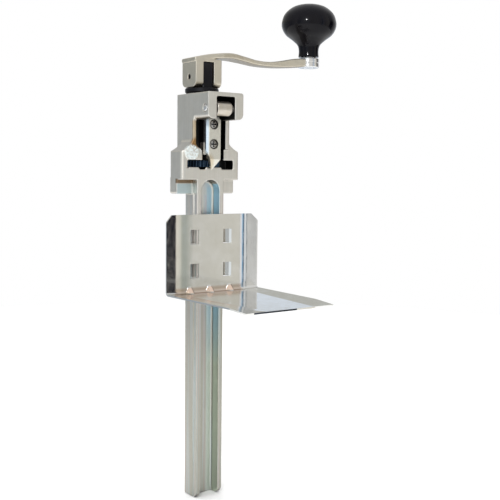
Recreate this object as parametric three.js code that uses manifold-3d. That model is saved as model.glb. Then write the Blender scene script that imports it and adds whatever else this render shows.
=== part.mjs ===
// A commercial table-mount can opener with a sliding can shelf.
// Sizes are in millimetres. +X is to the right, -Y is towards the user, +Z is up.
// The origin is the middle of the bar's web at its foot, directly below the arbor axis.

import * as THREE from 'three';
import { mergeVertices } from 'three/addons/utils/BufferGeometryUtils.js';
import manifoldModule from 'manifold-3d';

const wasm = await manifoldModule();
wasm.setup();

// ---------------------------------------------------------------- driving dimensions

const GAP = 0.3; // clearance between faces that touch on the real object
const ROUND_GAP = 0.2; // radial clearance of pins, shafts and bushings
const SEGMENTS = 32; // facets of a large round
const SMALL_SEGMENTS = 24; // facets of a small round
const EXTRA = 1; // how far a cutting tool runs past the face that it cuts

// The bar is a channel with its open side to the front.
const BAR_HALF_WIDTH = 15.875;
const BAR_BACK = 5.4;
const FRONT = -17.4; // front of the bar's ribs and of the lower head, which are flush
const WEB_FRONT = -5.4;
const GROOVE_HALF_WIDTH = 10.5;
const GROOVE_TOP = 326.4; // crown of the arch that ends the groove
const FOOT_RADIUS = 8;
const SIDE_GROOVE = { front: -12.3, back: -10, depth: 1.4 };

// The head is cast in one piece with the bar.
const TAB_BOTTOM = 312.6;
const TAB_FRONT = -8;
const LIP_BOTTOM = 326.5;
const LIP_TOP = 339;
const LIP_BACK = -14;
const SLOT_FLOOR = 337;
const SLOT_CEILING = 346;
const SLOT_HALF_WIDTH = 27;
const SHOULDER_LOW = 354.5;
const SHOULDER_TOP = 366;
const LOWER_HALF_WIDTH = 34;
const UPPER_HALF_WIDTH = 20.5;
const UPPER_BACK = 14.4;
const NOSE_FRONT = -44;
const NOSE_BOTTOM = 385.5;
const NOSE_CORNER_RADIUS = 5;
const HEAD_TOP = 411.5;
const CHEEK_FRONT = -20.6; // front of the right cheek, which stands out over the lower head
const CHEEK_BOTTOM = 357;
const CHANNEL = { left: -17.2, right: 15.2, back: -10.6, lowerLeft: -9.9, slopeTop: 361, slopeBottom: 356 };
const WINDOW = { halfWidth: 10.5, top: 407.4 };
const GEAR_POCKET_RADIUS = 19.4;
const REAR_BULGE = { radius: 22.5, bottom: 330, top: 353 };
const SCREW_POCKET = { radius: 6.5, bottom: 333 };

// The arbor turns about the Z axis through the origin.
const SHAFT_RADIUS = 6;
const BUSHING_RADIUS = 8;
const BUSHING_LENGTH = 18;
const WASHER_THICKNESS = 1;
const FLANGE = { radius: 17, thickness: 4.9 };
const TANG = { halfWidth: 5.9, halfDepth: 11, height: 25 };
const SQUARE_HALF = 4.2;
const GEAR = { teeth: 30, tip: 18.2, root: 16.4, bottom: 339.4, top: 345.6 };
const GEAR_SCREW_RADIUS = 2.2;

// The crank is a strip bent in an S, with a fork at one end and a boss at the other.
const FORK = { halfWidth: 15.3, halfDepth: 13, slotHalf: 6.2, radius: 5 };
const PIN_HEIGHT = 428.8;
const CRANK_PIN_RADIUS = 2.5;
const CRANK_RADIUS = 138.5;
// The arm's top and bottom from the side, as (x, z), and its half width from above.
const ARM_TOP = [[-16, 447.2], [-4, 450.2], [8, 452.4], [30, 454.8], [48, 453.1], [64, 450.9], [80, 450.7],
  [96, 453.1], [114, 456.7], [130, 458.1]];
const ARM_BOTTOM = [[-16, 443.5], [8, 447], [30, 449.2], [48, 447.8], [64, 445.9], [80, 445.6], [96, 446.2],
  [114, 447.8], [130, 449.6]];
const ARM_PLAN = [[-16, 13], [18, 13], [44, 9.2], [60, 7.7], [100, 7.8], [132, 8.8]];
const BOSS = { radius: 11.8, bottom: 449.4, top: 459.2 };
const RIVET_HEAD = { radius: 6.2, depth: 2.3 };

// The knob spins on a riveted spindle.
const SPINDLE_RADIUS = 3.6;
const KNOB_BASE = 460.8;
const KNOB_BORE = { radius: 6.6, depth: 34 };
const KNOB_PROFILE = [[11.5, 0], [11, 7], [12.4, 13], [17.6, 18.2], [25.6, 24.4], [29.7, 31.6], [29.8, 38.4],
  [26.6, 46.4], [19, 53], [9.6, 56.2]];
const KNOB_HEIGHT = 56.8;
const KNOB_BUSHING = { radius: 6.4, length: 24 };

// The knife is screwed to a holder that hangs on a cross pin in the nose.
const PIVOT = { y: -37.6, z: 396, radius: 3.4 };
const KNIFE = { x: -1, halfWidth: 7.8, back: -19.4, thickness: 5, top: 389, chamfer: 3, tip: 336 };
const KNIFE_FLANK = 2.4; // chamfer down the blade's left front edge
const KNIFE_TAPER = { left: 355.5, right: 347 }; // where the blade starts to narrow towards its point
const KNIFE_SCREW_HEIGHTS = { knife_screw_lower: 361.9, knife_screw_upper: 381.4 };
const KNIFE_SCREW = { radius: 2.5, headRadius: 4.6, headDepth: 2.3, end: -12.4 };
const HOLDER = { barrelRadius: 7, halfWidth: 8.5, legBack: -11.5, legBottom: 351.5 };

// The can shelf is a bent sheet that slides on the bar.
const SHEET = 1.5;
const SHELF = { bottom: 212.4, top: 292.2, front: -150, halfWidth: 54.5, frontHalf: 49.5,
  bendAt: 38.5, flare: 0.268 };
const SHELF_BEND_RADIUS = 4;
const SHELF_CHAMFER = 7;
const HOOK = {
  heights: [235.8, 269.8],
  halfHeight: 7.3,
  tipHalf: 7,
  windowStart: 14.6,
  hinge: 24.6,
  elbow: 16.5,
  tip: 14.775,
  back: -10.4,
};
const DART = { at: [-25.4, -1.6, 22.3], halfWidth: 2.5, leg: 6.4 };

// ---------------------------------------------------------------- solids

// Turns a closed three.js geometry into a solid that can be joined and cut.
function toSolid(geometry) {
  const bare = geometry.clone();
  bare.deleteAttribute('normal');
  bare.deleteAttribute('uv');
  const merged = mergeVertices(bare, 1e-4);
  return new wasm.Manifold(new wasm.Mesh({
    numProp: 3,
    vertProperties: new Float32Array(merged.attributes.position.array),
    triVerts: new Uint32Array(merged.index.array),
  }));
}

function toGeometry(solid) {
  const mesh = solid.getMesh();
  const geometry = new THREE.BufferGeometry();
  geometry.setAttribute('position', new THREE.BufferAttribute(mesh.vertProperties, 3));
  geometry.setIndex(new THREE.BufferAttribute(mesh.triVerts, 1));
  geometry.computeVertexNormals();
  return geometry;
}

const join = (...solids) => solids.reduce((whole, part) => whole.add(part));
const cut = (solid, ...tools) => tools.reduce((rest, tool) => rest.subtract(tool), solid);

function block(x, y, z) {
  const geometry = new THREE.BoxGeometry(x[1] - x[0], y[1] - y[0], z[1] - z[0]);
  geometry.translate((x[0] + x[1]) / 2, (y[0] + y[1]) / 2, (z[0] + z[1]) / 2);
  return toSolid(geometry);
}

// A shape drawn on two axes and extruded along the third, from start to end.
function prism(axis, outline, start, end) {
  const shape = outline instanceof THREE.Shape ? outline : new THREE.Shape(outline.map(toVector));
  const options = { depth: end - start, bevelEnabled: false, curveSegments: 8 };
  const geometry = new THREE.ExtrudeGeometry(shape, options);
  const [x, y, z] = [new THREE.Vector3(1, 0, 0), new THREE.Vector3(0, 1, 0), new THREE.Vector3(0, 0, 1)];
  const bases = { x: [y, z, x], y: [x, z, y.clone().negate()], z: [x, y, z] };
  const origin = { x: [start, 0, 0], y: [0, end, 0], z: [0, 0, start] };
  geometry.applyMatrix4(new THREE.Matrix4().makeBasis(...bases[axis]).setPosition(...origin[axis]));
  return toSolid(geometry);
}

function toVector(point) {
  return new THREE.Vector2(...point);
}

// A round bar along an axis. centre holds its two other coordinates, in the order x, y, z.
function rod(axis, radius, start, end, centre = [0, 0], segments = SMALL_SEGMENTS) {
  const geometry = new THREE.CylinderGeometry(radius, radius, end - start, segments);
  const middle = (start + end) / 2;
  const [first, second] = centre;
  if (axis === 'x') geometry.rotateZ(Math.PI / 2).translate(middle, first, second);
  if (axis === 'y') geometry.translate(first, middle, second);
  if (axis === 'z') geometry.rotateX(Math.PI / 2).translate(first, second, middle);
  return toSolid(geometry);
}

function ring(outer, inner, start, end, centre = [0, 0], segments = SMALL_SEGMENTS) {
  const hole = rod('z', inner, start - EXTRA, end + EXTRA, centre, segments);
  return cut(rod('z', outer, start, end, centre, segments), hole);
}

// ---------------------------------------------------------------- materials

const metal = (color, roughness) => new THREE.MeshStandardMaterial({ color, roughness, metalness: 1 });
const nickelCasting = () => metal(0xb9b3a6, 0.42);
const nickelStrip = () => metal(0xc4bdae, 0.34);
const machinedSteel = () => metal(0xd8d6d2, 0.2);
const knifeSteel = () => metal(0xcfc9b8, 0.3);
const blackOxide = () => metal(0x16171a, 0.45);
const gearSteel = () => metal(0x1b2a3c, 0.4);
const bronze = () => metal(0x9a7648, 0.4);
const brass = () => metal(0xb59a56, 0.35);
const polishedSheet = () => metal(0xd9dad6, 0.14);
const glossPlastic = () => new THREE.MeshStandardMaterial({ color: 0x0a0b0f, roughness: 0.12, metalness: 0 });

// ---------------------------------------------------------------- bar and head casting

// The groove's face outline: straight sides closed by a half-round arch.
function grooveOutline() {
  const outline = new THREE.Shape();
  outline.moveTo(-GROOVE_HALF_WIDTH, -EXTRA);
  outline.lineTo(GROOVE_HALF_WIDTH, -EXTRA);
  outline.absarc(0, GROOVE_TOP - GROOVE_HALF_WIDTH, GROOVE_HALF_WIDTH, 0, Math.PI);
  return outline;
}

// The bar's side outline, with the ribs' lower front corner rounded.
function barSideOutline() {
  const outline = new THREE.Shape();
  outline.moveTo(BAR_BACK, 0);
  outline.lineTo(BAR_BACK, LIP_BOTTOM + EXTRA);
  outline.lineTo(FRONT, LIP_BOTTOM + EXTRA);
  outline.absarc(FRONT + FOOT_RADIUS, FOOT_RADIUS, FOOT_RADIUS, Math.PI, 1.5 * Math.PI);
  return outline;
}

function bar() {
  const blank = prism('x', barSideOutline(), -BAR_HALF_WIDTH, BAR_HALF_WIDTH);
  const grooves = [prism('y', grooveOutline(), FRONT - EXTRA, WEB_FRONT)];
  for (const side of [-1, 1]) {
    const reach = [side * (BAR_HALF_WIDTH - SIDE_GROOVE.depth), side * (BAR_HALF_WIDTH + EXTRA)];
    const x = reach.sort((a, b) => a - b);
    grooves.push(block(x, [SIDE_GROOVE.front, SIDE_GROOVE.back], [-EXTRA, TAB_BOTTOM]));
  }
  return cut(blank, ...grooves);
}

// The head from the front: wide below, with hollow-curved shoulders up to the narrow upper part.
function shoulderedOutline() {
  const outline = new THREE.Shape();
  outline.moveTo(-LOWER_HALF_WIDTH, LIP_BOTTOM);
  outline.lineTo(LOWER_HALF_WIDTH, LIP_BOTTOM);
  outline.lineTo(LOWER_HALF_WIDTH, SHOULDER_LOW);
  outline.quadraticCurveTo(UPPER_HALF_WIDTH + 2.5, SHOULDER_LOW + 5, UPPER_HALF_WIDTH, SHOULDER_TOP);
  outline.lineTo(UPPER_HALF_WIDTH, NOSE_BOTTOM + EXTRA);
  outline.lineTo(-UPPER_HALF_WIDTH, NOSE_BOTTOM + EXTRA);
  outline.lineTo(-UPPER_HALF_WIDTH, SHOULDER_TOP);
  outline.quadraticCurveTo(-UPPER_HALF_WIDTH - 2.5, SHOULDER_LOW + 5, -LOWER_HALF_WIDTH, SHOULDER_LOW);
  return outline;
}

// The nose from the front, with its two lower corners rounded.
function noseOutline() {
  const centre = UPPER_HALF_WIDTH - NOSE_CORNER_RADIUS;
  const outline = new THREE.Shape();
  outline.moveTo(UPPER_HALF_WIDTH, HEAD_TOP);
  outline.lineTo(-UPPER_HALF_WIDTH, HEAD_TOP);
  outline.absarc(-centre, NOSE_BOTTOM + NOSE_CORNER_RADIUS, NOSE_CORNER_RADIUS, Math.PI, 1.5 * Math.PI);
  outline.absarc(centre, NOSE_BOTTOM + NOSE_CORNER_RADIUS, NOSE_CORNER_RADIUS, 1.5 * Math.PI, 2 * Math.PI);
  return outline;
}

function headBlank() {
  const upper = [-UPPER_HALF_WIDTH, UPPER_HALF_WIDTH];
  const lower = [-LOWER_HALF_WIDTH, LOWER_HALF_WIDTH];
  const rightCheek = [CHANNEL.right - EXTRA, UPPER_HALF_WIDTH];
  const bulge = rod('z', REAR_BULGE.radius, REAR_BULGE.bottom, REAR_BULGE.top, [0, 0], SEGMENTS);
  return join(
    prism('y', shoulderedOutline(), FRONT, BAR_BACK),
    block(lower, [TAB_FRONT, BAR_BACK], [TAB_BOTTOM, LIP_BOTTOM + EXTRA]),
    block(upper, [0, UPPER_BACK], [SLOT_CEILING, HEAD_TOP]),
    block(upper, [FRONT, UPPER_BACK], [NOSE_BOTTOM, HEAD_TOP]),
    prism('y', noseOutline(), NOSE_FRONT, FRONT + EXTRA),
    block(rightCheek, [CHEEK_FRONT, FRONT + EXTRA], [CHEEK_BOTTOM, NOSE_BOTTOM + EXTRA]),
    bulge.intersect(block(lower, [0, 2 * REAR_BULGE.radius], [LIP_BOTTOM, SHOULDER_TOP])),
  );
}

// The knife holder's channel from the front. Its lower left is filled, with a sloping top.
function channelOutline() {
  const { left, right, lowerLeft, slopeTop, slopeBottom } = CHANNEL;
  return [[lowerLeft, SLOT_FLOOR + 2], [right, SLOT_FLOOR + 2], [right, NOSE_BOTTOM], [left, NOSE_BOTTOM],
    [left, slopeTop], [lowerLeft, slopeBottom]];
}

// The pocket that the gear turns in, open to the front, and the knife holder's channel above it.
function headHollows() {
  const bore = BUSHING_RADIUS + ROUND_GAP;
  const pinReach = UPPER_HALF_WIDTH + EXTRA;
  const window = [-WINDOW.halfWidth, WINDOW.halfWidth];
  return [
    block([-SLOT_HALF_WIDTH, SLOT_HALF_WIDTH], [FRONT - EXTRA, -4], [SLOT_FLOOR, SLOT_CEILING]),
    rod('z', GEAR_POCKET_RADIUS, SLOT_FLOOR, SLOT_CEILING, [0, 0], SEGMENTS),
    rod('z', SCREW_POCKET.radius, SCREW_POCKET.bottom, SLOT_FLOOR + EXTRA),
    rod('z', bore, SLOT_CEILING - EXTRA, HEAD_TOP + EXTRA, [0, 0], SEGMENTS),
    prism('y', channelOutline(), CHEEK_FRONT - EXTRA, CHANNEL.back),
    block(window, [NOSE_FRONT - EXTRA, CHANNEL.back], [NOSE_BOTTOM - EXTRA, WINDOW.top]),
    rod('x', PIVOT.radius + ROUND_GAP, -pinReach, pinReach, [PIVOT.y, PIVOT.z]),
  ];
}

// Two low ridges stand on the front edge of the gear slot.
function slotLips() {
  const spans = [[-26, -13.5], [-6, 13]];
  return spans.map((x) => block(x, [FRONT, LIP_BACK], [SLOT_FLOOR - EXTRA, LIP_TOP]));
}

function frameCasting() {
  const head = cut(headBlank(), ...headHollows());
  return join(bar(), head, ...slotLips()).subtract(prism('y', grooveOutline(), FRONT - EXTRA, WEB_FRONT));
}

// ---------------------------------------------------------------- arbor, bushings and gear

const upperBushing = () => bushing(HEAD_TOP - GAP);
const lowerBushing = () => bushing(SLOT_CEILING + GAP + BUSHING_LENGTH);

function bushing(top) {
  return ring(BUSHING_RADIUS, SHAFT_RADIUS + ROUND_GAP, top - BUSHING_LENGTH, top, [0, 0], SEGMENTS);
}

const WASHER_BOTTOM = HEAD_TOP + GAP;
const FLANGE_BOTTOM = WASHER_BOTTOM + WASHER_THICKNESS + GAP;
const FLANGE_TOP = FLANGE_BOTTOM + FLANGE.thickness;

function thrustWasher() {
  const bottom = WASHER_BOTTOM;
  return ring(FLANGE.radius - 1, SHAFT_RADIUS + GAP, bottom, bottom + WASHER_THICKNESS, [0, 0], SEGMENTS);
}

function arbor() {
  const width = [-TANG.halfWidth, TANG.halfWidth];
  const depth = [-TANG.halfDepth, TANG.halfDepth];
  const square = [-SQUARE_HALF, SQUARE_HALF];
  const whole = join(
    rod('z', SHAFT_RADIUS, GEAR.top + GAP, FLANGE_BOTTOM + EXTRA, [0, 0], SEGMENTS),
    rod('z', FLANGE.radius, FLANGE_BOTTOM, FLANGE_TOP, [0, 0], SEGMENTS),
    block(width, depth, [FLANGE_TOP - EXTRA, FLANGE_TOP + TANG.height]),
    block(square, square, [GEAR.bottom + GAP, GEAR.top + EXTRA]),
  );
  const pinHole = rod('x', CRANK_PIN_RADIUS + ROUND_GAP, -20, 20, [0, PIN_HEIGHT]);
  const screwHole = rod('z', GEAR_SCREW_RADIUS + ROUND_GAP, GEAR.bottom, GEAR.top + 9);
  return cut(whole, pinHole, screwHole);
}

// The toothed outline goes round tooth by tooth: root, two points on the tip, root.
function gearOutline() {
  const pitch = (2 * Math.PI) / GEAR.teeth;
  const corners = [[GEAR.root, 0], [GEAR.tip, 0.3], [GEAR.tip, 0.55], [GEAR.root, 0.85]];
  const points = [];
  for (let tooth = 0; tooth < GEAR.teeth; tooth += 1) {
    for (const [radius, share] of corners) {
      const angle = (tooth + share) * pitch;
      points.push([radius * Math.cos(angle), radius * Math.sin(angle)]);
    }
  }
  return points;
}

function feedGear() {
  const half = SQUARE_HALF + ROUND_GAP;
  const hole = block([-half, half], [-half, half], [GEAR.bottom - EXTRA, GEAR.top + EXTRA]);
  return cut(prism('z', gearOutline(), GEAR.bottom, GEAR.top), hole);
}

const GEAR_WASHER = { radius: 6, top: GEAR.bottom - GAP };
const SCREW_HEAD = { radius: 3.8, top: GEAR_WASHER.top - WASHER_THICKNESS - GAP, bottom: 334 };

function gearWasher() {
  const { radius, top } = GEAR_WASHER;
  return ring(radius, GEAR_SCREW_RADIUS + GAP, top - WASHER_THICKNESS, top);
}

function gearScrew() {
  const slot = block([-5, 5], [-0.6, 0.6], [SCREW_HEAD.bottom - EXTRA, SCREW_HEAD.bottom + EXTRA]);
  return cut(join(
    rod('z', SCREW_HEAD.radius, SCREW_HEAD.bottom, SCREW_HEAD.top),
    rod('z', GEAR_SCREW_RADIUS, SCREW_HEAD.top - EXTRA, GEAR.top + 8),
  ), slot);
}

// ---------------------------------------------------------------- crank

function smoothLine(points) {
  const curve = new THREE.SplineCurve(points.map(toVector));
  return curve.getPoints(28).map((point) => point.toArray());
}

// The strip from above: wide at the fork, narrow along the arm.
function planOutline() {
  const right = ARM_PLAN.map(([x, half]) => [x, -half]);
  const left = ARM_PLAN.map(([x, half]) => [x, half]).reverse();
  return [...right, ...left];
}

function forkOutline(bottom, top) {
  const { halfDepth, radius } = FORK;
  const centre = halfDepth - radius;
  const outline = new THREE.Shape();
  outline.moveTo(halfDepth, top);
  outline.lineTo(-halfDepth, top);
  outline.absarc(-centre, bottom + radius, radius, Math.PI, 1.5 * Math.PI);
  outline.absarc(centre, bottom + radius, radius, 1.5 * Math.PI, 2 * Math.PI);
  return outline;
}

function crankArm() {
  const earBottom = FLANGE_TOP + 2 * GAP;
  const slotTop = FLANGE_TOP + TANG.height + GAP;
  const side = [...smoothLine(ARM_BOTTOM), ...smoothLine(ARM_TOP).reverse()];
  const strip = prism('y', side, -FORK.halfDepth, FORK.halfDepth);
  const plan = prism('z', planOutline(), earBottom, BOSS.top);
  const fork = prism('x', forkOutline(earBottom, slotTop + 3), -FORK.halfWidth, FORK.halfWidth);
  const slot = block([-FORK.slotHalf, FORK.slotHalf], [-20, 20], [earBottom - EXTRA, slotTop]);
  const boss = rod('z', BOSS.radius, BOSS.bottom, BOSS.top, [CRANK_RADIUS, 0], SEGMENTS);
  const spindleHole = SPINDLE_RADIUS + ROUND_GAP;
  const sinkTop = BOSS.bottom + RIVET_HEAD.depth;
  return cut(
    join(strip.intersect(plan), fork, boss),
    slot,
    rod('x', CRANK_PIN_RADIUS + ROUND_GAP, -20, 20, [0, PIN_HEIGHT]),
    rod('z', spindleHole, BOSS.bottom - EXTRA, BOSS.top + EXTRA, [CRANK_RADIUS, 0]),
    rod('z', RIVET_HEAD.radius + ROUND_GAP, BOSS.bottom - EXTRA, sinkTop, [CRANK_RADIUS, 0]),
  );
}

function crankPin() {
  const half = FORK.halfWidth - 0.8;
  return rod('x', CRANK_PIN_RADIUS, -half, half, [0, PIN_HEIGHT]);
}

// ---------------------------------------------------------------- knob and its spindle

const KNOB_WASHER_BOTTOM = BOSS.top + GAP;
const BUSHING_BOTTOM = KNOB_BASE + GAP;
const BUSHING_TOP = BUSHING_BOTTOM + KNOB_BUSHING.length;
const CLIP_BOTTOM = BUSHING_TOP + GAP;
const CLIP = { radius: 5.8, thickness: 1.2, groove: 0.7 };

function spindle() {
  const top = CLIP_BOTTOM + CLIP.thickness + 2;
  const headTop = BOSS.bottom + RIVET_HEAD.depth - GAP;
  const centre = [CRANK_RADIUS, 0];
  const groove = ring(
    SPINDLE_RADIUS + EXTRA,
    SPINDLE_RADIUS - CLIP.groove,
    CLIP_BOTTOM,
    CLIP_BOTTOM + CLIP.thickness,
    centre,
  );
  return cut(join(
    rod('z', RIVET_HEAD.radius, BOSS.bottom, headTop, centre),
    rod('z', SPINDLE_RADIUS, headTop - EXTRA, top, centre),
  ), groove);
}

function knobWasher() {
  const bottom = KNOB_WASHER_BOTTOM;
  return ring(8.5, SPINDLE_RADIUS + GAP, bottom, bottom + WASHER_THICKNESS, [CRANK_RADIUS, 0]);
}

function spindleClip() {
  const inner = SPINDLE_RADIUS - CLIP.groove + ROUND_GAP;
  const bottom = CLIP_BOTTOM + 0.15;
  return ring(CLIP.radius, inner, bottom, CLIP_BOTTOM + CLIP.thickness - 0.15, [CRANK_RADIUS, 0]);
}

function knobBushing() {
  const inner = SPINDLE_RADIUS + ROUND_GAP;
  return ring(KNOB_BUSHING.radius - ROUND_GAP, inner, BUSHING_BOTTOM, BUSHING_TOP, [CRANK_RADIUS, 0]);
}

function knob() {
  const curve = new THREE.SplineCurve([...KNOB_PROFILE, [0, KNOB_HEIGHT]].map(toVector));
  const profile = [new THREE.Vector2(0, 0), ...curve.getPoints(16)];
  profile[profile.length - 1].x = 0;
  const geometry = new THREE.LatheGeometry(profile, SEGMENTS);
  geometry.rotateX(Math.PI / 2).translate(CRANK_RADIUS, 0, KNOB_BASE);
  const bore = rod('z', KNOB_BORE.radius, KNOB_BASE - EXTRA, KNOB_BASE + KNOB_BORE.depth, [CRANK_RADIUS, 0]);
  return cut(toSolid(geometry), bore);
}

// ---------------------------------------------------------------- knife and its holder

const KNIFE_FRONT = KNIFE.back - KNIFE.thickness;
const HEAD_SEAT = KNIFE_FRONT + KNIFE_SCREW.headDepth;

// The blade from the front. Its point is cut further up on the left than on the right.
function knifeOutline() {
  const left = KNIFE.x - KNIFE.halfWidth;
  const right = KNIFE.x + KNIFE.halfWidth;
  const { top, chamfer, tip } = KNIFE;
  return [[KNIFE.x, tip], [right, KNIFE_TAPER.right], [right, top - chamfer], [right - chamfer, top],
    [left + chamfer, top], [left, top - chamfer], [left, KNIFE_TAPER.left]];
}

function knife() {
  const grindStart = KNIFE_TAPER.right;
  const bevel = [[KNIFE_FRONT - EXTRA, grindStart + EXTRA], [KNIFE_FRONT, grindStart],
    [KNIFE.back - GAP, KNIFE.tip - EXTRA], [KNIFE_FRONT - EXTRA, KNIFE.tip - EXTRA]];
  const left = KNIFE.x - KNIFE.halfWidth;
  const flank = [[left - EXTRA, KNIFE_FRONT - EXTRA], [left + KNIFE_FLANK + EXTRA, KNIFE_FRONT - EXTRA],
    [left - EXTRA, KNIFE_FRONT + KNIFE_FLANK + EXTRA]];
  const tools = [prism('x', bevel, -20, 20), prism('z', flank, KNIFE.tip - EXTRA, KNIFE.top + EXTRA)];
  for (const height of Object.values(KNIFE_SCREW_HEIGHTS)) {
    const centre = [KNIFE.x, height];
    tools.push(rod('y', KNIFE_SCREW.radius + GAP, KNIFE_FRONT - EXTRA, KNIFE.back + EXTRA, centre));
    tools.push(rod('y', KNIFE_SCREW.headRadius + GAP, KNIFE_FRONT - EXTRA, HEAD_SEAT + GAP, centre));
  }
  return cut(prism('y', knifeOutline(), KNIFE_FRONT, KNIFE.back), ...tools);
}

function knifeScrew(height) {
  const centre = [KNIFE.x, height];
  const top = KNIFE_FRONT + GAP;
  const whole = join(
    rod('y', KNIFE_SCREW.headRadius, top, HEAD_SEAT, centre),
    rod('y', KNIFE_SCREW.radius, HEAD_SEAT - EXTRA, KNIFE_SCREW.end, centre),
  );
  const depth = [top - EXTRA, top + 1.1];
  const [long, thin] = [2.8, 0.55];
  const across = block([KNIFE.x - long, KNIFE.x + long], depth, [height - thin, height + thin]);
  const upright = block([KNIFE.x - thin, KNIFE.x + thin], depth, [height - long, height + long]);
  return cut(whole, across, upright);
}

// The holder from the side: a barrel on the pin, an arm back over the knife and a leg down behind it.
function knifeHolder() {
  const seat = KNIFE.back + GAP;
  const under = KNIFE.top + 1;
  const arm = [[PIVOT.y, PIVOT.z - HOLDER.barrelRadius + 0.6], [KNIFE_FRONT, under], [seat, under],
    [seat, HOLDER.legBottom], [HOLDER.legBack, HOLDER.legBottom], [HOLDER.legBack, 400],
    [HOLDER.legBack - 3.5, 402], [PIVOT.y, PIVOT.z + HOLDER.barrelRadius - 0.2]];
  const centre = [PIVOT.y, PIVOT.z];
  const [left, right] = [KNIFE.x - HOLDER.halfWidth, KNIFE.x + HOLDER.halfWidth];
  const barrel = rod('x', HOLDER.barrelRadius, left, right, centre, SEGMENTS);
  const tools = [rod('x', PIVOT.radius + ROUND_GAP, -20, 20, centre)];
  for (const height of Object.values(KNIFE_SCREW_HEIGHTS)) {
    const place = [KNIFE.x, height];
    tools.push(rod('y', KNIFE_SCREW.radius + ROUND_GAP, seat - EXTRA, HOLDER.legBack + EXTRA, place));
  }
  return cut(join(prism('x', arm, left, right), barrel), ...tools);
}

function holderPin() {
  const half = UPPER_HALF_WIDTH + 0.3;
  return rod('x', PIVOT.radius, -half, half, [PIVOT.y, PIVOT.z]);
}

// ---------------------------------------------------------------- can shelf

const PLATE_BACK = FRONT - GAP;
const PLATE_FRONT = PLATE_BACK - SHEET;
const FLOOR_TOP = SHELF.bottom + SHEET;

// The shelf from the side: back plate, bend and floor.
function shelfOutline() {
  const outer = SHELF_BEND_RADIUS;
  const inner = outer - SHEET;
  const outline = new THREE.Shape();
  outline.moveTo(PLATE_BACK, SHELF.top);
  outline.lineTo(PLATE_FRONT, SHELF.top);
  outline.absarc(PLATE_FRONT - inner, FLOOR_TOP + inner, inner, 0, -Math.PI / 2, true);
  outline.lineTo(SHELF.front, FLOOR_TOP);
  outline.lineTo(SHELF.front, SHELF.bottom);
  outline.absarc(PLATE_BACK - outer, SHELF.bottom + outer, outer, -Math.PI / 2, 0);
  return outline;
}

// A side wing continues the bent section and leans forward, towards the can.
function shelfWing(side) {
  const options = { depth: SHELF.halfWidth - SHELF.bendAt, bevelEnabled: false, curveSegments: 8 };
  const geometry = new THREE.ExtrudeGeometry(shelfOutline(), options);
  const axes = [new THREE.Vector3(0, 1, 0), new THREE.Vector3(0, 0, 1), new THREE.Vector3(1, 0, 0)];
  const start = side > 0 ? 0 : SHELF.bendAt - SHELF.halfWidth;
  const flare = side * SHELF.flare;
  geometry.applyMatrix4(new THREE.Matrix4().makeBasis(...axes).setPosition(start, 0, 0));
  geometry.applyMatrix4(new THREE.Matrix4().makeShear(-flare, 0, 0, 0, 0, 0));
  geometry.translate(side * SHELF.bendAt, 0, 0);
  return toSolid(geometry);
}

// The blank's limits: the clipped top corners and the floor's taper towards its straight front edge.
function shelfLimits() {
  const { halfWidth, frontHalf, top, front, bottom } = SHELF;
  const corner = halfWidth - SHELF_CHAMFER;
  const upright = [[-halfWidth, bottom], [halfWidth, bottom], [halfWidth, top - SHELF_CHAMFER], [corner, top],
    [-corner, top], [-halfWidth, top - SHELF_CHAMFER]];
  const plan = [[-halfWidth, 0], [-halfWidth, -25], [-frontHalf, front], [frontHalf, front], [halfWidth, -25],
    [halfWidth, 0]];
  return prism('y', upright, front, 0).intersect(prism('z', plan, bottom, top));
}

// A hook is a tapered tab bent back out of its window. It slants inwards from the window's outer edge,
// and its lip runs in the bar's side groove.
function hook(side, height) {
  const { halfHeight, tipHalf, windowStart, hinge, elbow, tip, back } = HOOK;
  const front = back - SHEET;
  const root = hinge + 1.5;
  const slant = new THREE.Vector2(elbow - hinge, front - PLATE_FRONT).normalize();
  const corner = [hinge + SHEET * slant.y, PLATE_FRONT - SHEET * slant.x];
  const onBackFace = (y) => corner[0] + ((y - corner[1]) * slant.x) / slant.y;
  const plan = [[root, PLATE_FRONT], [hinge, PLATE_FRONT], [elbow, front], [tip, front], [tip, back],
    [onBackFace(back), back], [onBackFace(PLATE_BACK), PLATE_BACK], [root, PLATE_BACK]];
  const face = [[tip, height - tipHalf], [root, height - halfHeight], [root, height + halfHeight],
    [tip, height + tipHalf]];
  const mirrored = (outline) => outline.map(([a, b]) => [side * a, b]);
  const window = [side * windowStart, side * hinge].sort((a, b) => a - b);
  const z = [height - halfHeight, height + halfHeight];
  return {
    window: block(window, [PLATE_FRONT - EXTRA, PLATE_BACK + EXTRA], z),
    tab: prism('z', mirrored(plan), ...z).intersect(prism('y', mirrored(face), PLATE_FRONT, back)),
  };
}

// A dart is a gusset pressed into the bend to stiffen it.
function dart(x) {
  const outline = [[PLATE_FRONT + 0.5, FLOOR_TOP + DART.leg], [PLATE_FRONT, FLOOR_TOP + DART.leg],
    [PLATE_FRONT - DART.leg, FLOOR_TOP], [PLATE_FRONT - DART.leg, FLOOR_TOP - 0.5],
    [PLATE_FRONT - 2, FLOOR_TOP - 0.5], [PLATE_FRONT + 0.5, FLOOR_TOP + 2]];
  return prism('x', outline, x - DART.halfWidth, x + DART.halfWidth);
}

function canShelf() {
  const centre = prism('x', shelfOutline(), -SHELF.bendAt, SHELF.bendAt);
  const sheet = join(centre, shelfWing(1), shelfWing(-1)).intersect(shelfLimits());
  const hooks = [-1, 1].flatMap((side) => HOOK.heights.map((height) => hook(side, height)));
  const windows = hooks.map((piece) => piece.window);
  const tabs = hooks.map((piece) => piece.tab);
  return join(cut(sheet, ...windows), ...tabs, ...DART.at.map(dart));
}

// ---------------------------------------------------------------- assembly

const group = new THREE.Group();

function addPart(name, solid, material) {
  const mesh = new THREE.Mesh(toGeometry(solid), material);
  mesh.name = name;
  group.add(mesh);
}

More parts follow.
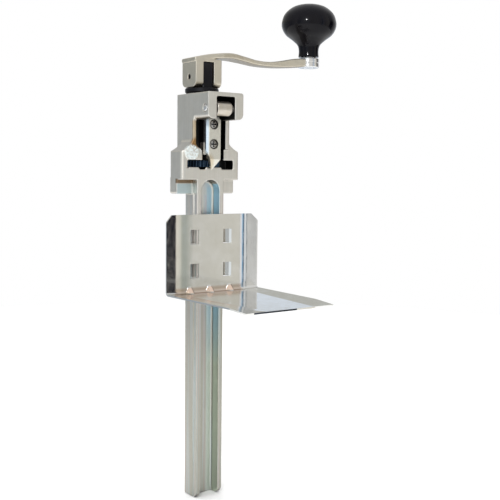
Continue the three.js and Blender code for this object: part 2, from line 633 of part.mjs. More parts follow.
addPart('frame_casting', frameCasting(), nickelCasting());
addPart('upper_bushing', upperBushing(), bronze());
addPart('lower_bushing', lowerBushing(), bronze());
addPart('thrust_washer', thrustWasher(), blackOxide());
addPart('arbor', arbor(), blackOxide());
addPart('feed_gear', feedGear(), gearSteel());
addPart('gear_washer', gearWasher(), blackOxide());
addPart('gear_screw', gearScrew(), blackOxide());
addPart('crank_arm', crankArm(), nickelStrip());
addPart('crank_pin', crankPin(), blackOxide());
addPart('knob_spindle', spindle(), machinedSteel());
addPart('knob_washer', knobWasher(), machinedSteel());
addPart('spindle_clip', spindleClip(), machinedSteel());
addPart('knob_bushing', knobBushing(), brass());
addPart('knob', knob(), glossPlastic());
addPart('knife_holder', knifeHolder(), nickelCasting());
addPart('holder_pin', holderPin(), machinedSteel());
addPart('knife', knife(), knifeSteel());
for (const [name, height] of Object.entries(KNIFE_SCREW_HEIGHTS)) {
  addPart(name, knifeScrew(height), machinedSteel());
}
addPart('can_shelf', canShelf(), polishedSheet());

export default group;
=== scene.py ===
import math

import bmesh
import bpy
from mathutils import Matrix, Vector


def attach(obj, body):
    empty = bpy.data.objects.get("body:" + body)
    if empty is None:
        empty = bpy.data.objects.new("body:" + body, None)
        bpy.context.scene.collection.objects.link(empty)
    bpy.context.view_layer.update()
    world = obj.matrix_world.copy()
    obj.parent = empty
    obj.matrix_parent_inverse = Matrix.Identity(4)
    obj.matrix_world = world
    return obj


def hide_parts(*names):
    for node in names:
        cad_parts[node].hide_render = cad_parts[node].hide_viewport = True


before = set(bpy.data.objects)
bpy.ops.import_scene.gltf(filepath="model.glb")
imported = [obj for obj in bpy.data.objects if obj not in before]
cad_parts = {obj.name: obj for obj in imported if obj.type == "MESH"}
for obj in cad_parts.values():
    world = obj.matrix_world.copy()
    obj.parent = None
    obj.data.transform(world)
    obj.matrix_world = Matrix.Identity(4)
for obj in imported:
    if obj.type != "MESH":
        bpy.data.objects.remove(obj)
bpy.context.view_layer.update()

MM = 0.001  # lengths below are in millimetres, in the frame of the CAD model

# ------ driving dimensions

BAR_HALF_WIDTH = 15.875
BAR_BACK = 5.4
FRONT = -17.4  # front of the bar's ribs and of the lower head
WEB_FRONT = -5.4
GROOVE_HALF_WIDTH = 10.5
GROOVE_TOP = 326.4
FOOT_RADIUS = 8
SIDE_GROOVE = {"front": -12.3, "back": -10, "depth": 1.4}

LOWER_HALF_WIDTH = 34
UPPER_HALF_WIDTH = 20.5
UPPER_BACK = 14.4
TAB_BOTTOM = 312.6
TAB_FRONT = -8
LIP_BOTTOM = 326.5
LIP_BACK = -14
LIP_TOP = 339
LIP_SPANS = ((-26, -13.5), (-6, 13))
SLOT_FLOOR = 337
SLOT_CEILING = 346
SLOT_HALF_WIDTH = 27
SHOULDER_LOW = 354.5
SHOULDER_TOP = 366
CHEEK_FRONT = -20.6  # of the right cheek, which stands out over the lower head
CHEEK_BOTTOM = 357
CHANNEL = {
    "left": -17.2, "right": 15.2, "back": -10.6,
    "lower_left": -9.9, "step_low": 355.5, "step_high": 360.5,  # it narrows on the left, over a step
}
NOSE_FRONT = -44
NOSE_BOTTOM = 385.5
HEAD_TOP = 411.5
WINDOW = {"half": 10.5, "top": 407.4}
GEAR_POCKET_RADIUS = 19.4
BULGE = {"radius": 22.5, "bottom": 330, "top": 353}  # round the gear's pocket

SHAFT_RADIUS = 6
BUSHING_RADIUS = 8
GEAR_TEETH = 30
GEAR_ROOT = 16.4
GEAR_TIP = 18.1
GEAR_BOTTOM = 339.4
GEAR_TOP = 345.6
FLANGE_BOTTOM = 413.1
FLANGE_TOP = 418
FLANGE_RADIUS = 17
TANG = {"half_width": 5.9, "half_depth": 11}
SQUARE_HALF = 4.2  # of the arbor's end in the gear
GEAR_SCREW_BOTTOM = 334
PIN_HEIGHT = 428.8
PIN_HOLE_RADIUS = 2.7
CRANK_RADIUS = 138.5
BOSS_BOTTOM = 449.4
BOSS_TOP = 459.2
BOSS_RADIUS = 11.8
SPINDLE_RADIUS = 3.6
KNOB_BASE = 460.8
KNIFE_X = -1
KNIFE_FRONT = -24.4
KNIFE_BACK = -19.4
KNIFE_HALF = 7.8
KNIFE_TOP = 389
KNIFE_POINT = 336.1
KNIFE_SHOULDERS = {"left": 355.5, "right": 347}  # where the blade's sides turn towards its point
SCREW_HEIGHTS = {"knife_screw_lower": 361.9, "knife_screw_upper": 381.4}
PIVOT = (-37.6, 396)  # y and z of the knife holder's pin

SHEET = 1.5
PLATE_FRONT = -19.2
FLOOR_TOP = 213.9

# ------ mesh tools


def link_new(name, data):
    """A new object in the scene."""
    obj = bpy.data.objects.new(name, data)
    bpy.context.scene.collection.objects.link(obj)
    return obj


def from_points(name, vertices, faces):
    """A new object from vertices in millimetres."""
    data = bpy.data.meshes.new(name)
    data.from_pydata([Vector(v) * MM for v in vertices], [], faces)
    return link_new(name, data)


def solid(name, vertices, faces):
    """A new object with its points merged where they fall together and its faces turned outwards."""
    obj = from_points(name, vertices, faces)
    work = bmesh.new()
    work.from_mesh(obj.data)
    bmesh.ops.remove_doubles(work, verts=work.verts, dist=1e-7)
    loose = [edge for edge in work.edges if not edge.link_faces]
    bmesh.ops.delete(work, geom=loose, context="EDGES")
    bmesh.ops.recalc_face_normals(work, faces=work.faces)
    work.to_mesh(obj.data)
    work.free()
    return obj


def rounded(corners, steps=5):
    """An outline whose corners (a, b, radius) are turned into arcs. A plain corner is (a, b)."""
    points = []
    for index, corner in enumerate(corners):
        here = Vector(corner[:2])
        if len(corner) == 2:
            points.append(here)
            continue
        back = (Vector(corners[index - 1][:2]) - here).normalized()
        ahead = (Vector(corners[(index + 1) % len(corners)][:2]) - here).normalized()
        half_angle = back.angle(ahead) / 2
        centre = here + (back + ahead).normalized() * corner[2] / math.sin(half_angle)
        reach = corner[2] / math.tan(half_angle)
        first = here + back * reach - centre
        last = here + ahead * reach - centre
        start = math.atan2(first.y, first.x)
        sweep = math.atan2(last.y, last.x) - start
        sweep = (sweep + math.pi) % math.tau - math.pi
        for step in range(steps + 1):
            angle = start + sweep * step / steps
            points.append(centre + corner[2] * Vector((math.cos(angle), math.sin(angle))))
    return points


def rectangle(a, b, radii=(0, 0, 0, 0), steps=5):
    """The outline over two ranges. Its corners start at a[0], b[0] and go on to a[1], b[0]."""
    corners = [(a[0], b[0]), (a[1], b[0]), (a[1], b[1]), (a[0], b[1])]
    with_radii = [(*corner, r) if r else corner for corner, r in zip(corners, radii)]
    return rounded(with_radii, steps)


def smooth_line(points, steps=8):
    """A Catmull-Rom curve through the points."""
    ends = [Vector(points[0]), *map(Vector, points), Vector(points[-1])]
    line = []
    for before, start, end, after in zip(ends, ends[1:], ends[2:], ends[3:]):
        for step in range(steps):
            t = step / steps
            line.append(
                0.5 * (2 * start + (end - before) * t
                       + (2 * before - 5 * start + 4 * end - after) * t * t
                       + (3 * start - before - 3 * end + after) * t ** 3)
            )
    return [*line, ends[-1]]


def spread(start, end, step):
    """Evenly spread values from start up to, but not including, the end."""
    count = max(1, round(abs(end - start) / step))
    return [start + (end - start) * index / count for index in range(count)]


PLANES = {
    "x": lambda a, b, along: (along, a, b),
    "y": lambda a, b, along: (a, along, b),
    "z": lambda a, b, along: (a, b, along),
}


def loft(name, sections, closed=False):
    """A solid through sections that all have the same number of points."""
    count = len(sections[0])
    vertices = [point for section in sections for point in section]
    rows = len(sections)
    faces = []
    for row in range(rows if closed else rows - 1):
        for column in range(count):
            following = (column + 1) % count
            low = row * count
            high = (row + 1) % rows * count
            faces.append((low + column, low + following, high + following, high + column))
    if not closed:
        faces.append(tuple(range(count)))
        faces.append(tuple((rows - 1) * count + column for column in range(count)))
    return solid(name, vertices, faces)


def prism(name, axis, outline, start, end):
    """A straight piece with the given outline across the axis."""
    at = PLANES[axis]
    return loft(name, [[at(a, b, along) for a, b in outline] for along in (start, end)])


def block(name, x, y, z):
    return prism(name, "z", rectangle(x, y), *z)


def lathe(name, axis, profile, centre=(0, 0), segments=64):
    """Turns an outline of (radius, along) about an axis. centre holds the two other coordinates."""
    at = PLANES[axis]
    rings = []
    for step in range(segments):
        angle = math.tau * step / segments
        across, up = math.cos(angle), math.sin(angle)
        rings.append([at(centre[0] + r * across, centre[1] + r * up, along) for r, along in profile])
    return loft(name, rings, closed=True)


def ring_profile(inner, outer, start, end, chamfer=0.25):
    """The section of a washer or bushing with chamfered edges."""
    return [
        (inner, start + chamfer), (inner + chamfer, start),
        (outer - chamfer, start), (outer, start + chamfer),
        (outer, end - chamfer), (outer - chamfer, end),
        (inner + chamfer, end), (inner, end - chamfer),
    ]


def rod(name, axis, radius, start, end, chamfer=0.4, centre=(0, 0), segments=64):
    """A round rod with chamfered ends."""
    profile = [
        (0, start), (radius - chamfer, start), (radius, start + chamfer),
        (radius, end - chamfer), (radius - chamfer, end), (0, end),
    ]
    return lathe(name, axis, profile, centre, segments)


def modify(obj, kind, **settings):
    """Adds a modifier."""
    modifier = obj.modifiers.new(kind, kind)
    for name, value in settings.items():
        setattr(modifier, name, value)


def apply_modifiers(obj):
    graph = bpy.context.evaluated_depsgraph_get()
    old = obj.data
    obj.data = bpy.data.meshes.new_from_object(obj.evaluated_get(graph))
    obj.data.name = obj.name
    obj.modifiers.clear()
    bpy.data.meshes.remove(old)
    return obj


def combine(target, tools, operation):
    for tool in tools:
        modify(target, "BOOLEAN", operation=operation, solver="MANIFOLD", object=tool)
    apply_modifiers(target)
    for tool in tools:
        bpy.data.objects.remove(tool)
    return target


def cut(target, *tools):
    return combine(target, tools, "DIFFERENCE")


def join(target, *others):
    return combine(target, others, "UNION")


def keep_common(target, other):
    return combine(target, [other], "INTERSECT")


def soften(obj, voxel, rounds, share):
    """Rounds every edge, as on a casting: an even remesh, smoothing, then fewer faces."""
    modify(obj, "REMESH", mode="VOXEL", voxel_size=voxel * MM)
    modify(obj, "SMOOTH", iterations=rounds)
    modify(obj, "DECIMATE", ratio=share)
    apply_modifiers(obj)
    obj.data.shade_smooth()


def add_bevel(obj, width, angle, **settings):
    """Rounds the edges that are sharper than the angle."""
    limit = {"limit_method": "ANGLE", "angle_limit": math.radians(angle)}
    modify(obj, "BEVEL", width=width * MM, segments=2, **limit, **settings)


def bevel(obj, width, angle):
    """Rounds the sharp edges of a machined piece, and keeps its flats flat."""
    add_bevel(obj, width, angle, harden_normals=True)
    obj.data.shade_smooth()
    return apply_modifiers(obj)


def smooth_by_angle(obj, angle=35):
    obj.data.shade_smooth()
    obj.data.set_sharp_from_angle(angle=math.radians(angle))
    return obj


def place(obj, body, slot, *nodes, surface=None):
    """Evens out a piece's shading, gives it its material and its body, and hides the CAD nodes it stands
    for.
    """
    modify(obj, "WEIGHTED_NORMAL", keep_sharp=True)
    apply_modifiers(obj)
    obj.data.materials.clear()
    obj.data.materials.append(surface or SURFACES[slot])
    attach(obj, body)
    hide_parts(*nodes)


# ------ material tools


class Nodes:
    """Makes and links the nodes of a material or of the world."""

    def __init__(self, tree):
        self.tree = tree

    def node(self, kind, **inputs):
        made = self.tree.nodes.new("ShaderNode" + kind)
        for name, value in inputs.items():
            made.inputs[name].default_value = value
        return made

    def feed(self, socket, value):
        """Gives an input the output of another node, or a plain value."""
        if isinstance(value, bpy.types.NodeSocket):
            self.tree.links.new(value, socket)
        else:
            socket.default_value = value

    def parts(self, vector):
        """The X, Y and Z of a vector."""
        split = self.node("SeparateXYZ")
        self.feed(split.inputs["Vector"], vector)
        return split.outputs

    def remap(self, value, low, high, start=0.35, end=0.65):
        """Goes from low to high while the value goes from start to end, and no further."""
        limits = {"From Min": start, "From Max": end, "To Min": low, "To Max": high}
        ranged = self.node("MapRange", **limits)
        self.feed(ranged.inputs["Value"], value)
        return ranged.outputs["Result"]

    def math(self, operation, first, second):
        made = self.node("Math")
        made.operation = operation
        self.feed(made.inputs[0], first)
        self.feed(made.inputs[1], second)
        return made.outputs["Value"]

    def mix(self, factor, before, color):
        """What was there before where the factor is 0, and the colour where it is 1."""
        made = self.node("Mix")
        made.data_type = "RGBA"
        self.feed(made.inputs[0], factor)
        self.feed(made.inputs[6], before)
        made.inputs[7].default_value = (*color, 1)
        return made.outputs[2]


class Look(Nodes):
    """A surface that is put together from noise, painted light and shade, tints and relief."""

    def __init__(self, name, color, metallic, roughness):
        self.material = bpy.data.materials.new(name)
        self.material.use_nodes = True
        super().__init__(self.material.node_tree)
        self.shader = self.tree.nodes["Principled BSDF"]
        self.color = (*color, 1)
        self.normal = None
        self.set("Base Color", self.color)
        self.set("Metallic", metallic)
        self.set("Roughness", roughness)

    def set(self, socket, value):
        self.feed(self.shader.inputs[socket], value)

    def position(self):
        """The piece's own coordinates, in metres."""
        return self.node("TexCoord").outputs["Object"]

    def mapped(self, scale, location=(0, 0, 0)):
        """The position, scaled and then moved."""
        mapping = self.node("Mapping", Scale=scale, Location=location)
        self.feed(mapping.inputs["Vector"], self.position())
        return mapping.outputs["Vector"]

    def noise(self, size, stretch=(1, 1, 1), detail=3.0):
        """Noise whose features are about size millimetres, longer along the stretched axes."""
        texture = self.node("TexNoise", Scale=1 / (size * MM), Detail=detail)
        self.feed(texture.inputs["Vector"], self.mapped([1 / s for s in stretch]))
        return texture.outputs["Fac"]

    def edges(self, start=0.52, end=0.6):
        """1 on outer edges and 0 elsewhere."""
        geometry = self.node("NewGeometry")
        return self.remap(geometry.outputs["Pointiness"], 0, 1, start, end)

    def hollows(self):
        """1 in inner corners and 0 elsewhere."""
        return self.edges(0.48, 0.4)

    def facing_down(self):
        """1 on undersides and 0 elsewhere."""
        normal = self.parts(self.node("NewGeometry").outputs["Normal"])
        return self.remap(normal["Z"], 0, 1, -0.4, -0.9)

    def within(self, soft, **ranges):
        """1 inside a box that is given by x, y and z ranges in millimetres, falling to 0 around it."""
        position = self.parts(self.position())
        mask = 1
        for axis, (low, high) in ranges.items():
            along = position[axis.upper()]
            rising = self.remap(along, 0, 1, (low - soft) * MM, low * MM)
            falling = self.remap(along, 1, 0, high * MM, (high + soft) * MM)
            mask = self.math("MULTIPLY", self.math("MULTIPLY", rising, falling), mask)
        return mask

    def near(self, centre, reach, flatten=(1, 1, 1)):
        """1 close to a point that is given in millimetres, falling to 0 at the reach."""
        sizes = [reach * f for f in flatten]
        scale = [1 / (size * MM) for size in sizes]
        away = self.mapped(scale, [-c / size for c, size in zip(centre, sizes)])
        distance = self.node("VectorMath")
        distance.operation = "LENGTH"
        self.feed(distance.inputs[0], away)
        return self.remap(distance.outputs["Value"], 1, 0, 0.6, 1)

    def tint(self, factor, color, share=1):
        """Mixes a share of a colour in where the factor is 1."""
        if share != 1:
            factor = self.math("MULTIPLY", factor, share)
        self.color = self.mix(factor, self.color, color)
        self.set("Base Color", self.color)

    def mottle(self, share, color, size, **shape):
        """Mixes up to a share of a colour in, in patches of about size millimetres."""
        self.tint(self.remap(self.noise(size, **shape), 0, share), color)

    def tint_box(self, color, share, soft, **ranges):
        """Mixes a share of a colour in inside a box: mostly painted shade and painted highlights."""
        self.tint(self.within(soft, **ranges), color, share)

    def roughen(self, low, high, size, **shape):
        """Lets the roughness vary, in patches of about size millimetres."""
        self.set("Roughness", self.remap(self.noise(size, **shape), low, high))

    def relief(self, height, depth):
        """Adds relief of the given depth in millimetres."""
        bump = self.node("Bump", Distance=depth * MM)
        if self.normal:
            self.feed(bump.inputs["Normal"], self.normal)
        self.feed(bump.inputs["Height"], height)
        self.normal = bump.outputs["Normal"]
        self.set("Normal", self.normal)


# ------ materials

# Near black, painted as shade into the casting's slot, channel and window, onto the knife holder behind the
# knife and into the screws' recesses
PAINTED_SHADE = (0.008, 0.009, 0.012)


def nickel_casting():
    """Satin nickel over a sand casting, with painted shade: black in its cavities and brown beside them."""
    look = Look("nickel_casting", (0.66, 0.635, 0.57), 1, 0.4)
    look.mottle(0.5, (0.72, 0.7, 0.65), 9, detail=4)
    look.mottle(0.35, (0.54, 0.53, 0.49), 1.1, stretch=(1, 1, 60))
    bar = look.within(2, z=(-1, 310))
    bluish = look.remap(look.noise(1.7, stretch=(1, 1, 80)), 0, 0.5, 0.48, 0.62)
    # painted shade: the bar gets darker from the shelf's top downwards, under the shelf
    look.tint_box((0.37, 0.36, 0.31), 1, 95, z=(-1, 195))
    # painted reflections: bluish and pinkish upright streaks down the bar
    look.tint(look.math("MULTIPLY", bar, bluish), (0.43, 0.56, 0.6), 0.8)
    pinkish = look.remap(look.noise(2.3, stretch=(1, 1, 70)), 0, 0.45, 0.48, 0.62)
    look.tint(look.math("MULTIPLY", bar, pinkish), (0.58, 0.44, 0.45), 0.7)
    # painted shade in the hollows, a painted highlight on the outer edges and painted shade on the
    # undersides
    look.tint(look.hollows(), (0.2, 0.17, 0.13), 0.6)
    look.tint(look.edges(), (0.86, 0.85, 0.82), 0.7)
    look.tint(look.facing_down(), (0.1, 0.085, 0.07), 0.85)
    look.tint_box((0.45, 0.45, 0.44), 0.7, 0.8, x=(-36, -22), y=(-16, 30), z=(355, 366.5))
    # painted bluish reflection on the recessed face of the left tabs
    look.tint_box((0.42, 0.56, 0.6), 0.7, 1, x=(-33, -17), y=(-9, -6), z=(311, 322))
    # painted shade: brown along the channel's left edge, round its lower corner and under the lip
    look.tint_box((0.55, 0.36, 0.12), 0.5, 2, x=(-21, -17), y=(-18, -16), z=(358, 384))
    look.tint(look.near((-18.5, -17, 361), 6, flatten=(0.9, 1, 1.4)), (0.3, 0.15, 0.04), 0.85)
    look.tint_box((0.16, 0.09, 0.03), 0.85, 1, x=(-35, -15), y=(-9, -6), z=(323.5, 327))
    # painted highlight: the rough pad on the left of the brow is lighter, as it faces the light; its
    # speckled relief and roughness are its own
    lit_rough_pad = look.near((-22.4, -17.4, 353.4), 10.2, (0.86, 1, 0.8))
    pad = look.math("MINIMUM", look.math("MULTIPLY", lit_rough_pad, 2.5), 1)
    speckle = look.remap(look.noise(1.5, detail=5), 0.35, 1, 0.4, 0.56)
    look.tint(look.math("MULTIPLY", pad, speckle), (0.93, 1, 1))
    # painted reflections: tones on the groove's floor beside its right wall and on that wall, bluish higher
    # up
    look.tint_box((0.6, 0.65, 0.62), 0.8, 1.5, x=(4, 8.5), y=(-9, -5), z=(-1, 318))
    wall = look.within(0.8, x=(8.6, 11), y=(-16.6, -7.4), z=(-1, 324))
    look.tint(wall, (0.56, 0.62, 0.5), 0.85)
    look.tint(look.math("MULTIPLY", wall, look.within(70, z=(205, 324))), (0.34, 0.62, 0.85), 0.85)
    # painted shade: black in the knife holder's channel, the nose's window and the gear's slot
    look.tint_box(PAINTED_SHADE, 0.96, 1.2, x=(-17.4, 15), y=(-16.2, -10), z=(347, 385.4))
    look.tint_box(PAINTED_SHADE, 0.96, 0.4, x=(14.6, 15.4), y=(-20.2, -10), z=(347, 385.4))
    look.tint_box(PAINTED_SHADE, 0.96, 0.5, x=(-10.6, 10.6), y=(-43.2, -10), z=(386, 407.5))
    look.tint_box(PAINTED_SHADE, 0.96, 0.6, x=(-27.5, 27.5), y=(-16.4, -3), z=(337.2, 346))
    grain = look.noise(0.7, detail=5)
    look.set("Roughness", look.math("ADD", look.remap(grain, 0.32, 0.5), look.math("MULTIPLY", pad, 0.1)))
    look.relief(look.noise(5, detail=2), 0.12)
    look.relief(look.math("MULTIPLY", pad, look.noise(1.3, detail=5)), 0.9)
    look.relief(grain, 0.035)
    look.relief(look.noise(0.5, stretch=(1, 1, 90)), 0.02)
    return look.material


def holder_casting():
    """The same casting on the knife holder, with painted shade where it sits behind the knife."""
    look = Look("holder_casting", (0.54, 0.49, 0.41), 1, 0.38)
    look.mottle(0.55, (0.6, 0.57, 0.52), 4, detail=4)
    # a painted highlight on the outer edges
    look.tint(look.edges(), (0.86, 0.85, 0.82), 0.6)
    # painted shade: dark where it sits in the channel behind the knife
    look.tint_box(PAINTED_SHADE, 0.96, 1, z=(364, 387))
    look.tint_box(PAINTED_SHADE, 0.8, 1, y=(-31, -8), z=(386, 405))
    grain = look.noise(0.6, detail=5)
    look.set("Roughness", look.remap(grain, 0.3, 0.46))
    look.relief(look.noise(4, detail=2), 0.08)
    look.relief(grain, 0.03)
    return look.material


def nickel_strip():
    look = Look("nickel_strip", (0.6, 0.56, 0.47), 1, 0.36)
    look.mottle(0.6, (0.66, 0.61, 0.5), 14)
    # painted shade in the hollows, a painted highlight on the outer edges and painted shade on the
    # undersides
    look.tint(look.hollows(), (0.2, 0.17, 0.12), 0.6)
    look.tint(look.edges(), (0.85, 0.82, 0.74), 0.6)
    look.tint(look.facing_down(), (0.15, 0.12, 0.08), 0.8)
    look.tint_box((0.95, 0.95, 0.97), 0.85, 2.5, x=(CRANK_RADIUS - 10, CRANK_RADIUS + 14))
    look.roughen(0.28, 0.44, 0.8, stretch=(12, 1, 1))
    look.relief(look.noise(6), 0.1)
    look.relief(look.noise(0.4, stretch=(25, 1, 1)), 0.012)
    return look.material


def turned_steel():
    look = Look("turned_steel", (0.74, 0.74, 0.73), 1, 0.2)
    look.mottle(0.5, (0.62, 0.62, 0.62), 3)
    look.roughen(0.14, 0.3, 0.25, stretch=(20, 20, 1))
    look.relief(look.noise(0.3, stretch=(40, 40, 1)), 0.006)
    return look.material


def cross(height, thin, long=3):
    """The two bars of a knife screw's cross recess, as ranges of x and z."""
    bars = ((long, thin), (thin, long))
    return [((KNIFE_X - wide, KNIFE_X + wide), (height - high, height + high)) for wide, high in bars]


def screw_steel():
    """Tarnished screws, with painted shade: black inside their cross recess and round the rim of the head.
    """
    look = Look("screw_steel", (0.42, 0.41, 0.38), 1, 0.3)
    look.mottle(0.8, (0.16, 0.15, 0.14), 1.2, detail=4)
    # a painted highlight on the outer edges
    look.tint(look.edges(), (0.8, 0.78, 0.74), 0.8)
    rim = KNIFE_FRONT + 0.9
    # painted shade round the rim of the head, and below in the cross recess
    look.tint_box(PAINTED_SHADE, 0.95, 0.2, y=(rim, KNIFE_BACK))
    for height in SCREW_HEIGHTS.values():
        for x, z in cross(height, 0.7):
            look.tint_box(PAINTED_SHADE, 0.95, 0.1, x=x, y=(KNIFE_FRONT + 0.45, rim + 1), z=z)
    look.roughen(0.24, 0.45, 0.5)
    look.relief(look.noise(0.35, detail=4), 0.02)
    return look.material


def knife_steel():
    """Ground tool steel, with a painted reflection on its left flank and painted shade at its screw seats.
    """
    look = Look("knife_steel", (0.72, 0.7, 0.62), 1, 0.36)
    look.mottle(0.55, (0.6, 0.585, 0.52), 1.6, detail=5)
    # painted reflection: bluish light on the left flank
    look.tint_box((0.58, 0.67, 0.74), 0.9, 0.3, x=(-10, -7.1), z=(345, 387))
    look.tint(look.near((-6, -23, 343), 7, flatten=(1, 1, 1.6)), (0.5, 0.38, 0.2), 0.5)
    # painted shade in and round the screws' seats
    for height in SCREW_HEIGHTS.values():
        seat = look.near((KNIFE_X, KNIFE_FRONT, height), 5.9, flatten=(1, 2, 1))
        look.tint(seat, (0.25, 0.24, 0.22), 0.8)
    look.roughen(0.28, 0.46, 0.5, stretch=(8, 1, 1))
    look.relief(look.noise(0.35, stretch=(18, 1, 1)), 0.012)
    look.relief(look.noise(1.2, detail=4), 0.02)
    return look.material


def black_oxide():
    look = Look("black_oxide", (0.012, 0.012, 0.016), 0.85, 0.4)
    look.set("Specular IOR Level", 0.3)
    # a painted highlight on the outer edges
    look.tint(look.edges(), (0.12, 0.12, 0.13), 0.5)
    look.mottle(0.5, (0.02, 0.019, 0.018), 4, detail=4)
    look.roughen(0.32, 0.52, 0.6)
    look.relief(look.noise(0.5, detail=4), 0.015)
    return look.material


def gear_steel():
    look = Look("gear_steel", (0.025, 0.05, 0.085), 1, 0.34)
    # a painted bluish highlight on the outer edges
    look.tint(look.edges(), (0.16, 0.24, 0.33), 0.6)
    look.mottle(0.6, (0.012, 0.02, 0.035), 2.5)
    look.roughen(0.26, 0.46, 0.5)
    look.relief(look.noise(0.4, detail=4), 0.015)
    return look.material


def bronze():
    look = Look("bronze", (0.42, 0.25, 0.11), 1, 0.42)
    look.mottle(0.5, (0.2, 0.12, 0.06), 0.5, detail=5)
    look.roughen(0.32, 0.55, 0.6)
    look.relief(look.noise(0.25), 0.02)
    return look.material


def brass():
    look = Look("brass", (0.62, 0.46, 0.17), 1, 0.3)
    look.mottle(0.5, (0.45, 0.32, 0.13), 2, detail=4)
    look.roughen(0.22, 0.42, 0.3, stretch=(1, 1, 20))
    look.relief(look.noise(0.3, stretch=(30, 30, 1)), 0.006)
    return look.material


def polished_sheet():
    """Bright rolled steel sheet. Its bends and front edge are darkened with painted shade."""
    look = Look("polished_sheet", (0.78, 0.78, 0.76), 1, 0.12)
    look.mottle(0.5, (0.7, 0.69, 0.65), 22, detail=2)
    # painted shade along the left bend and in the bend between plate and floor
    look.tint_box((0.42, 0.47, 0.44), 0.75, 9, x=(-33, -30), y=(-21, -15))
    look.tint_box((0.5, 0.36, 0.26), 0.6, 2.5, x=(-42, 36), y=(-24, -19), z=(213, 218))
    # painted highlights on the darts
    look.tint_box((0.95, 0.72, 0.58), 0.8, 0.8, x=(-33, 28), y=(-26, -20.5), z=(215.2, 221))
    # a painted highlight on the outer edges
    look.tint(look.edges(0.53, 0.62), (0.92, 0.92, 0.9), 0.5)
    # painted shade on the right hooks and a painted highlight on the left ones, seen through their windows
    look.tint_box((0.38, 0.37, 0.34), 0.8, 0.5, x=(13, 24), y=(PLATE_FRONT + 2, -9))
    look.tint_box((1, 1, 1), 0.9, 0.5, x=(-24, -15), y=(PLATE_FRONT + 2, -9))
    # painted shade: black along the left part of the front edge
    look.tint_box((0.01, 0.015, 0.03), 0.95, 0.3, x=(-41, 6), y=(-151, -149.7))
    scratches = look.noise(0.3, stretch=(1, 30, 30))
    patches = look.remap(look.noise(7), 0.05, 0.11)
    look.set("Roughness", look.math("ADD", patches, look.remap(scratches, 0, 0.08)))
    look.relief(look.noise(26, detail=1), 0.1)
    look.relief(look.noise(0.25, stretch=(1, 40, 40)), 0.0015)
    return look.material


def gloss_plastic():
    look = Look("gloss_plastic", (0.002, 0.002, 0.004), 0, 0.12)
    look.set("Specular IOR Level", 0.16)
    look.mottle(0.5, (0.006, 0.005, 0.006), 30)
    look.roughen(0.08, 0.2, 3, detail=5)
    look.relief(look.noise(9, detail=2), 0.03)
    look.relief(look.noise(0.4, stretch=(14, 14, 1)), 0.001)
    return look.material


# What the slots of the CAD model are made of.
SURFACES = {
    "nickel_casting": nickel_casting(),
    "nickel_strip": nickel_strip(),
    "machined_steel": turned_steel(),
    "knife_steel": knife_steel(),
    "black_oxide": black_oxide(),
    "gear_steel": gear_steel(),
    "bronze": bronze(),
    "brass": brass(),
    "polished_sheet": polished_sheet(),
    "gloss_black_plastic": gloss_plastic(),
}

# ------ bar and head casting


def groove():
    """The bar's long groove, ended by a half-round arch. Its floor runs up into its walls in fillets."""
    half, front, fillet = GROOVE_HALF_WIDTH, FRONT - 4, 2
    crown = GROOVE_TOP - half
    section = rectangle((-half, half), (front, WEB_FRONT), (0, 0, fillet, fillet))
    arch = [
        (0, front), (half, front), (half, WEB_FRONT - fillet),
        (half - 0.3 * fillet, WEB_FRONT - 0.3 * fillet), (half - fillet, WEB_FRONT), (0, WEB_FRONT),
    ]
    return join(prism("groove", "z", section, -1, crown), lathe("arch", "y", arch, (0, crown)))


def bar_blank():
    top = LIP_BOTTOM + 2
    foot = 0.03  # a little off the ground, which the finished casting mustn't pass
    outline = rounded([
        (BAR_BACK, foot, 1), (BAR_BACK, top), (FRONT, top), (FRONT, foot, FOOT_RADIUS),
    ], steps=12)
    bar = prism("bar", "x", outline, -BAR_HALF_WIDTH, BAR_HALF_WIDTH)
    depths = (SIDE_GROOVE["front"], SIDE_GROOVE["back"])
    grooves = []
    for side in (-1, 1):
        x = sorted((side * (BAR_HALF_WIDTH - SIDE_GROOVE["depth"]), side * (BAR_HALF_WIDTH + 1)))
        grooves.append(block("side_groove", x, depths, (-1, TAB_BOTTOM)))
    return cut(bar, *grooves)


def lower_head():
    """The wide lower head: hollow-curved shoulders from the front, large round corners from above."""
    half = LOWER_HALF_WIDTH
    curve = []
    for step in range(9):
        t = step / 8
        start, pull, end = (1 - t) ** 2, 2 * t * (1 - t), t * t
        x = half * start + (UPPER_HALF_WIDTH + 2.5) * pull + UPPER_HALF_WIDTH * end
        z = SHOULDER_LOW * start + (SHOULDER_LOW + 5) * pull + SHOULDER_TOP * end
        curve.append((x, z))
    top = NOSE_BOTTOM + 4
    right = [(half, LIP_BOTTOM), *curve, (UPPER_HALF_WIDTH, top)]
    left = [(-x, z) for x, z in reversed(right)]
    head = prism("lower_head", "y", [*right, *left], FRONT, BAR_BACK)
    plan = rectangle((-half, half), (FRONT, BAR_BACK), (3.4, 2.2, 2, 2))
    return keep_common(head, prism("plan", "z", plan, LIP_BOTTOM - 1, top + 1))


def upper_head():
    plan = rectangle((-UPPER_HALF_WIDTH, UPPER_HALF_WIDTH), (FRONT, UPPER_BACK), (0.8, 0.8, 0.8, 0.8))
    return prism("upper_head", "z", plan, CHEEK_BOTTOM, HEAD_TOP)


def right_cheek():
    plan = rectangle((CHANNEL["right"] - 1, UPPER_HALF_WIDTH), (CHEEK_FRONT, FRONT + 1), (0, 1.5, 0, 0))
    return prism("right_cheek", "z", plan, CHEEK_BOTTOM, NOSE_BOTTOM + 1)


def nose():
    half = UPPER_HALF_WIDTH
    outline = rounded([
        (-half, HEAD_TOP, 1.2), (-half, NOSE_BOTTOM, 5), (half, NOSE_BOTTOM, 5), (half, HEAD_TOP, 2),
    ])
    return prism("nose", "y", outline, NOSE_FRONT, FRONT)


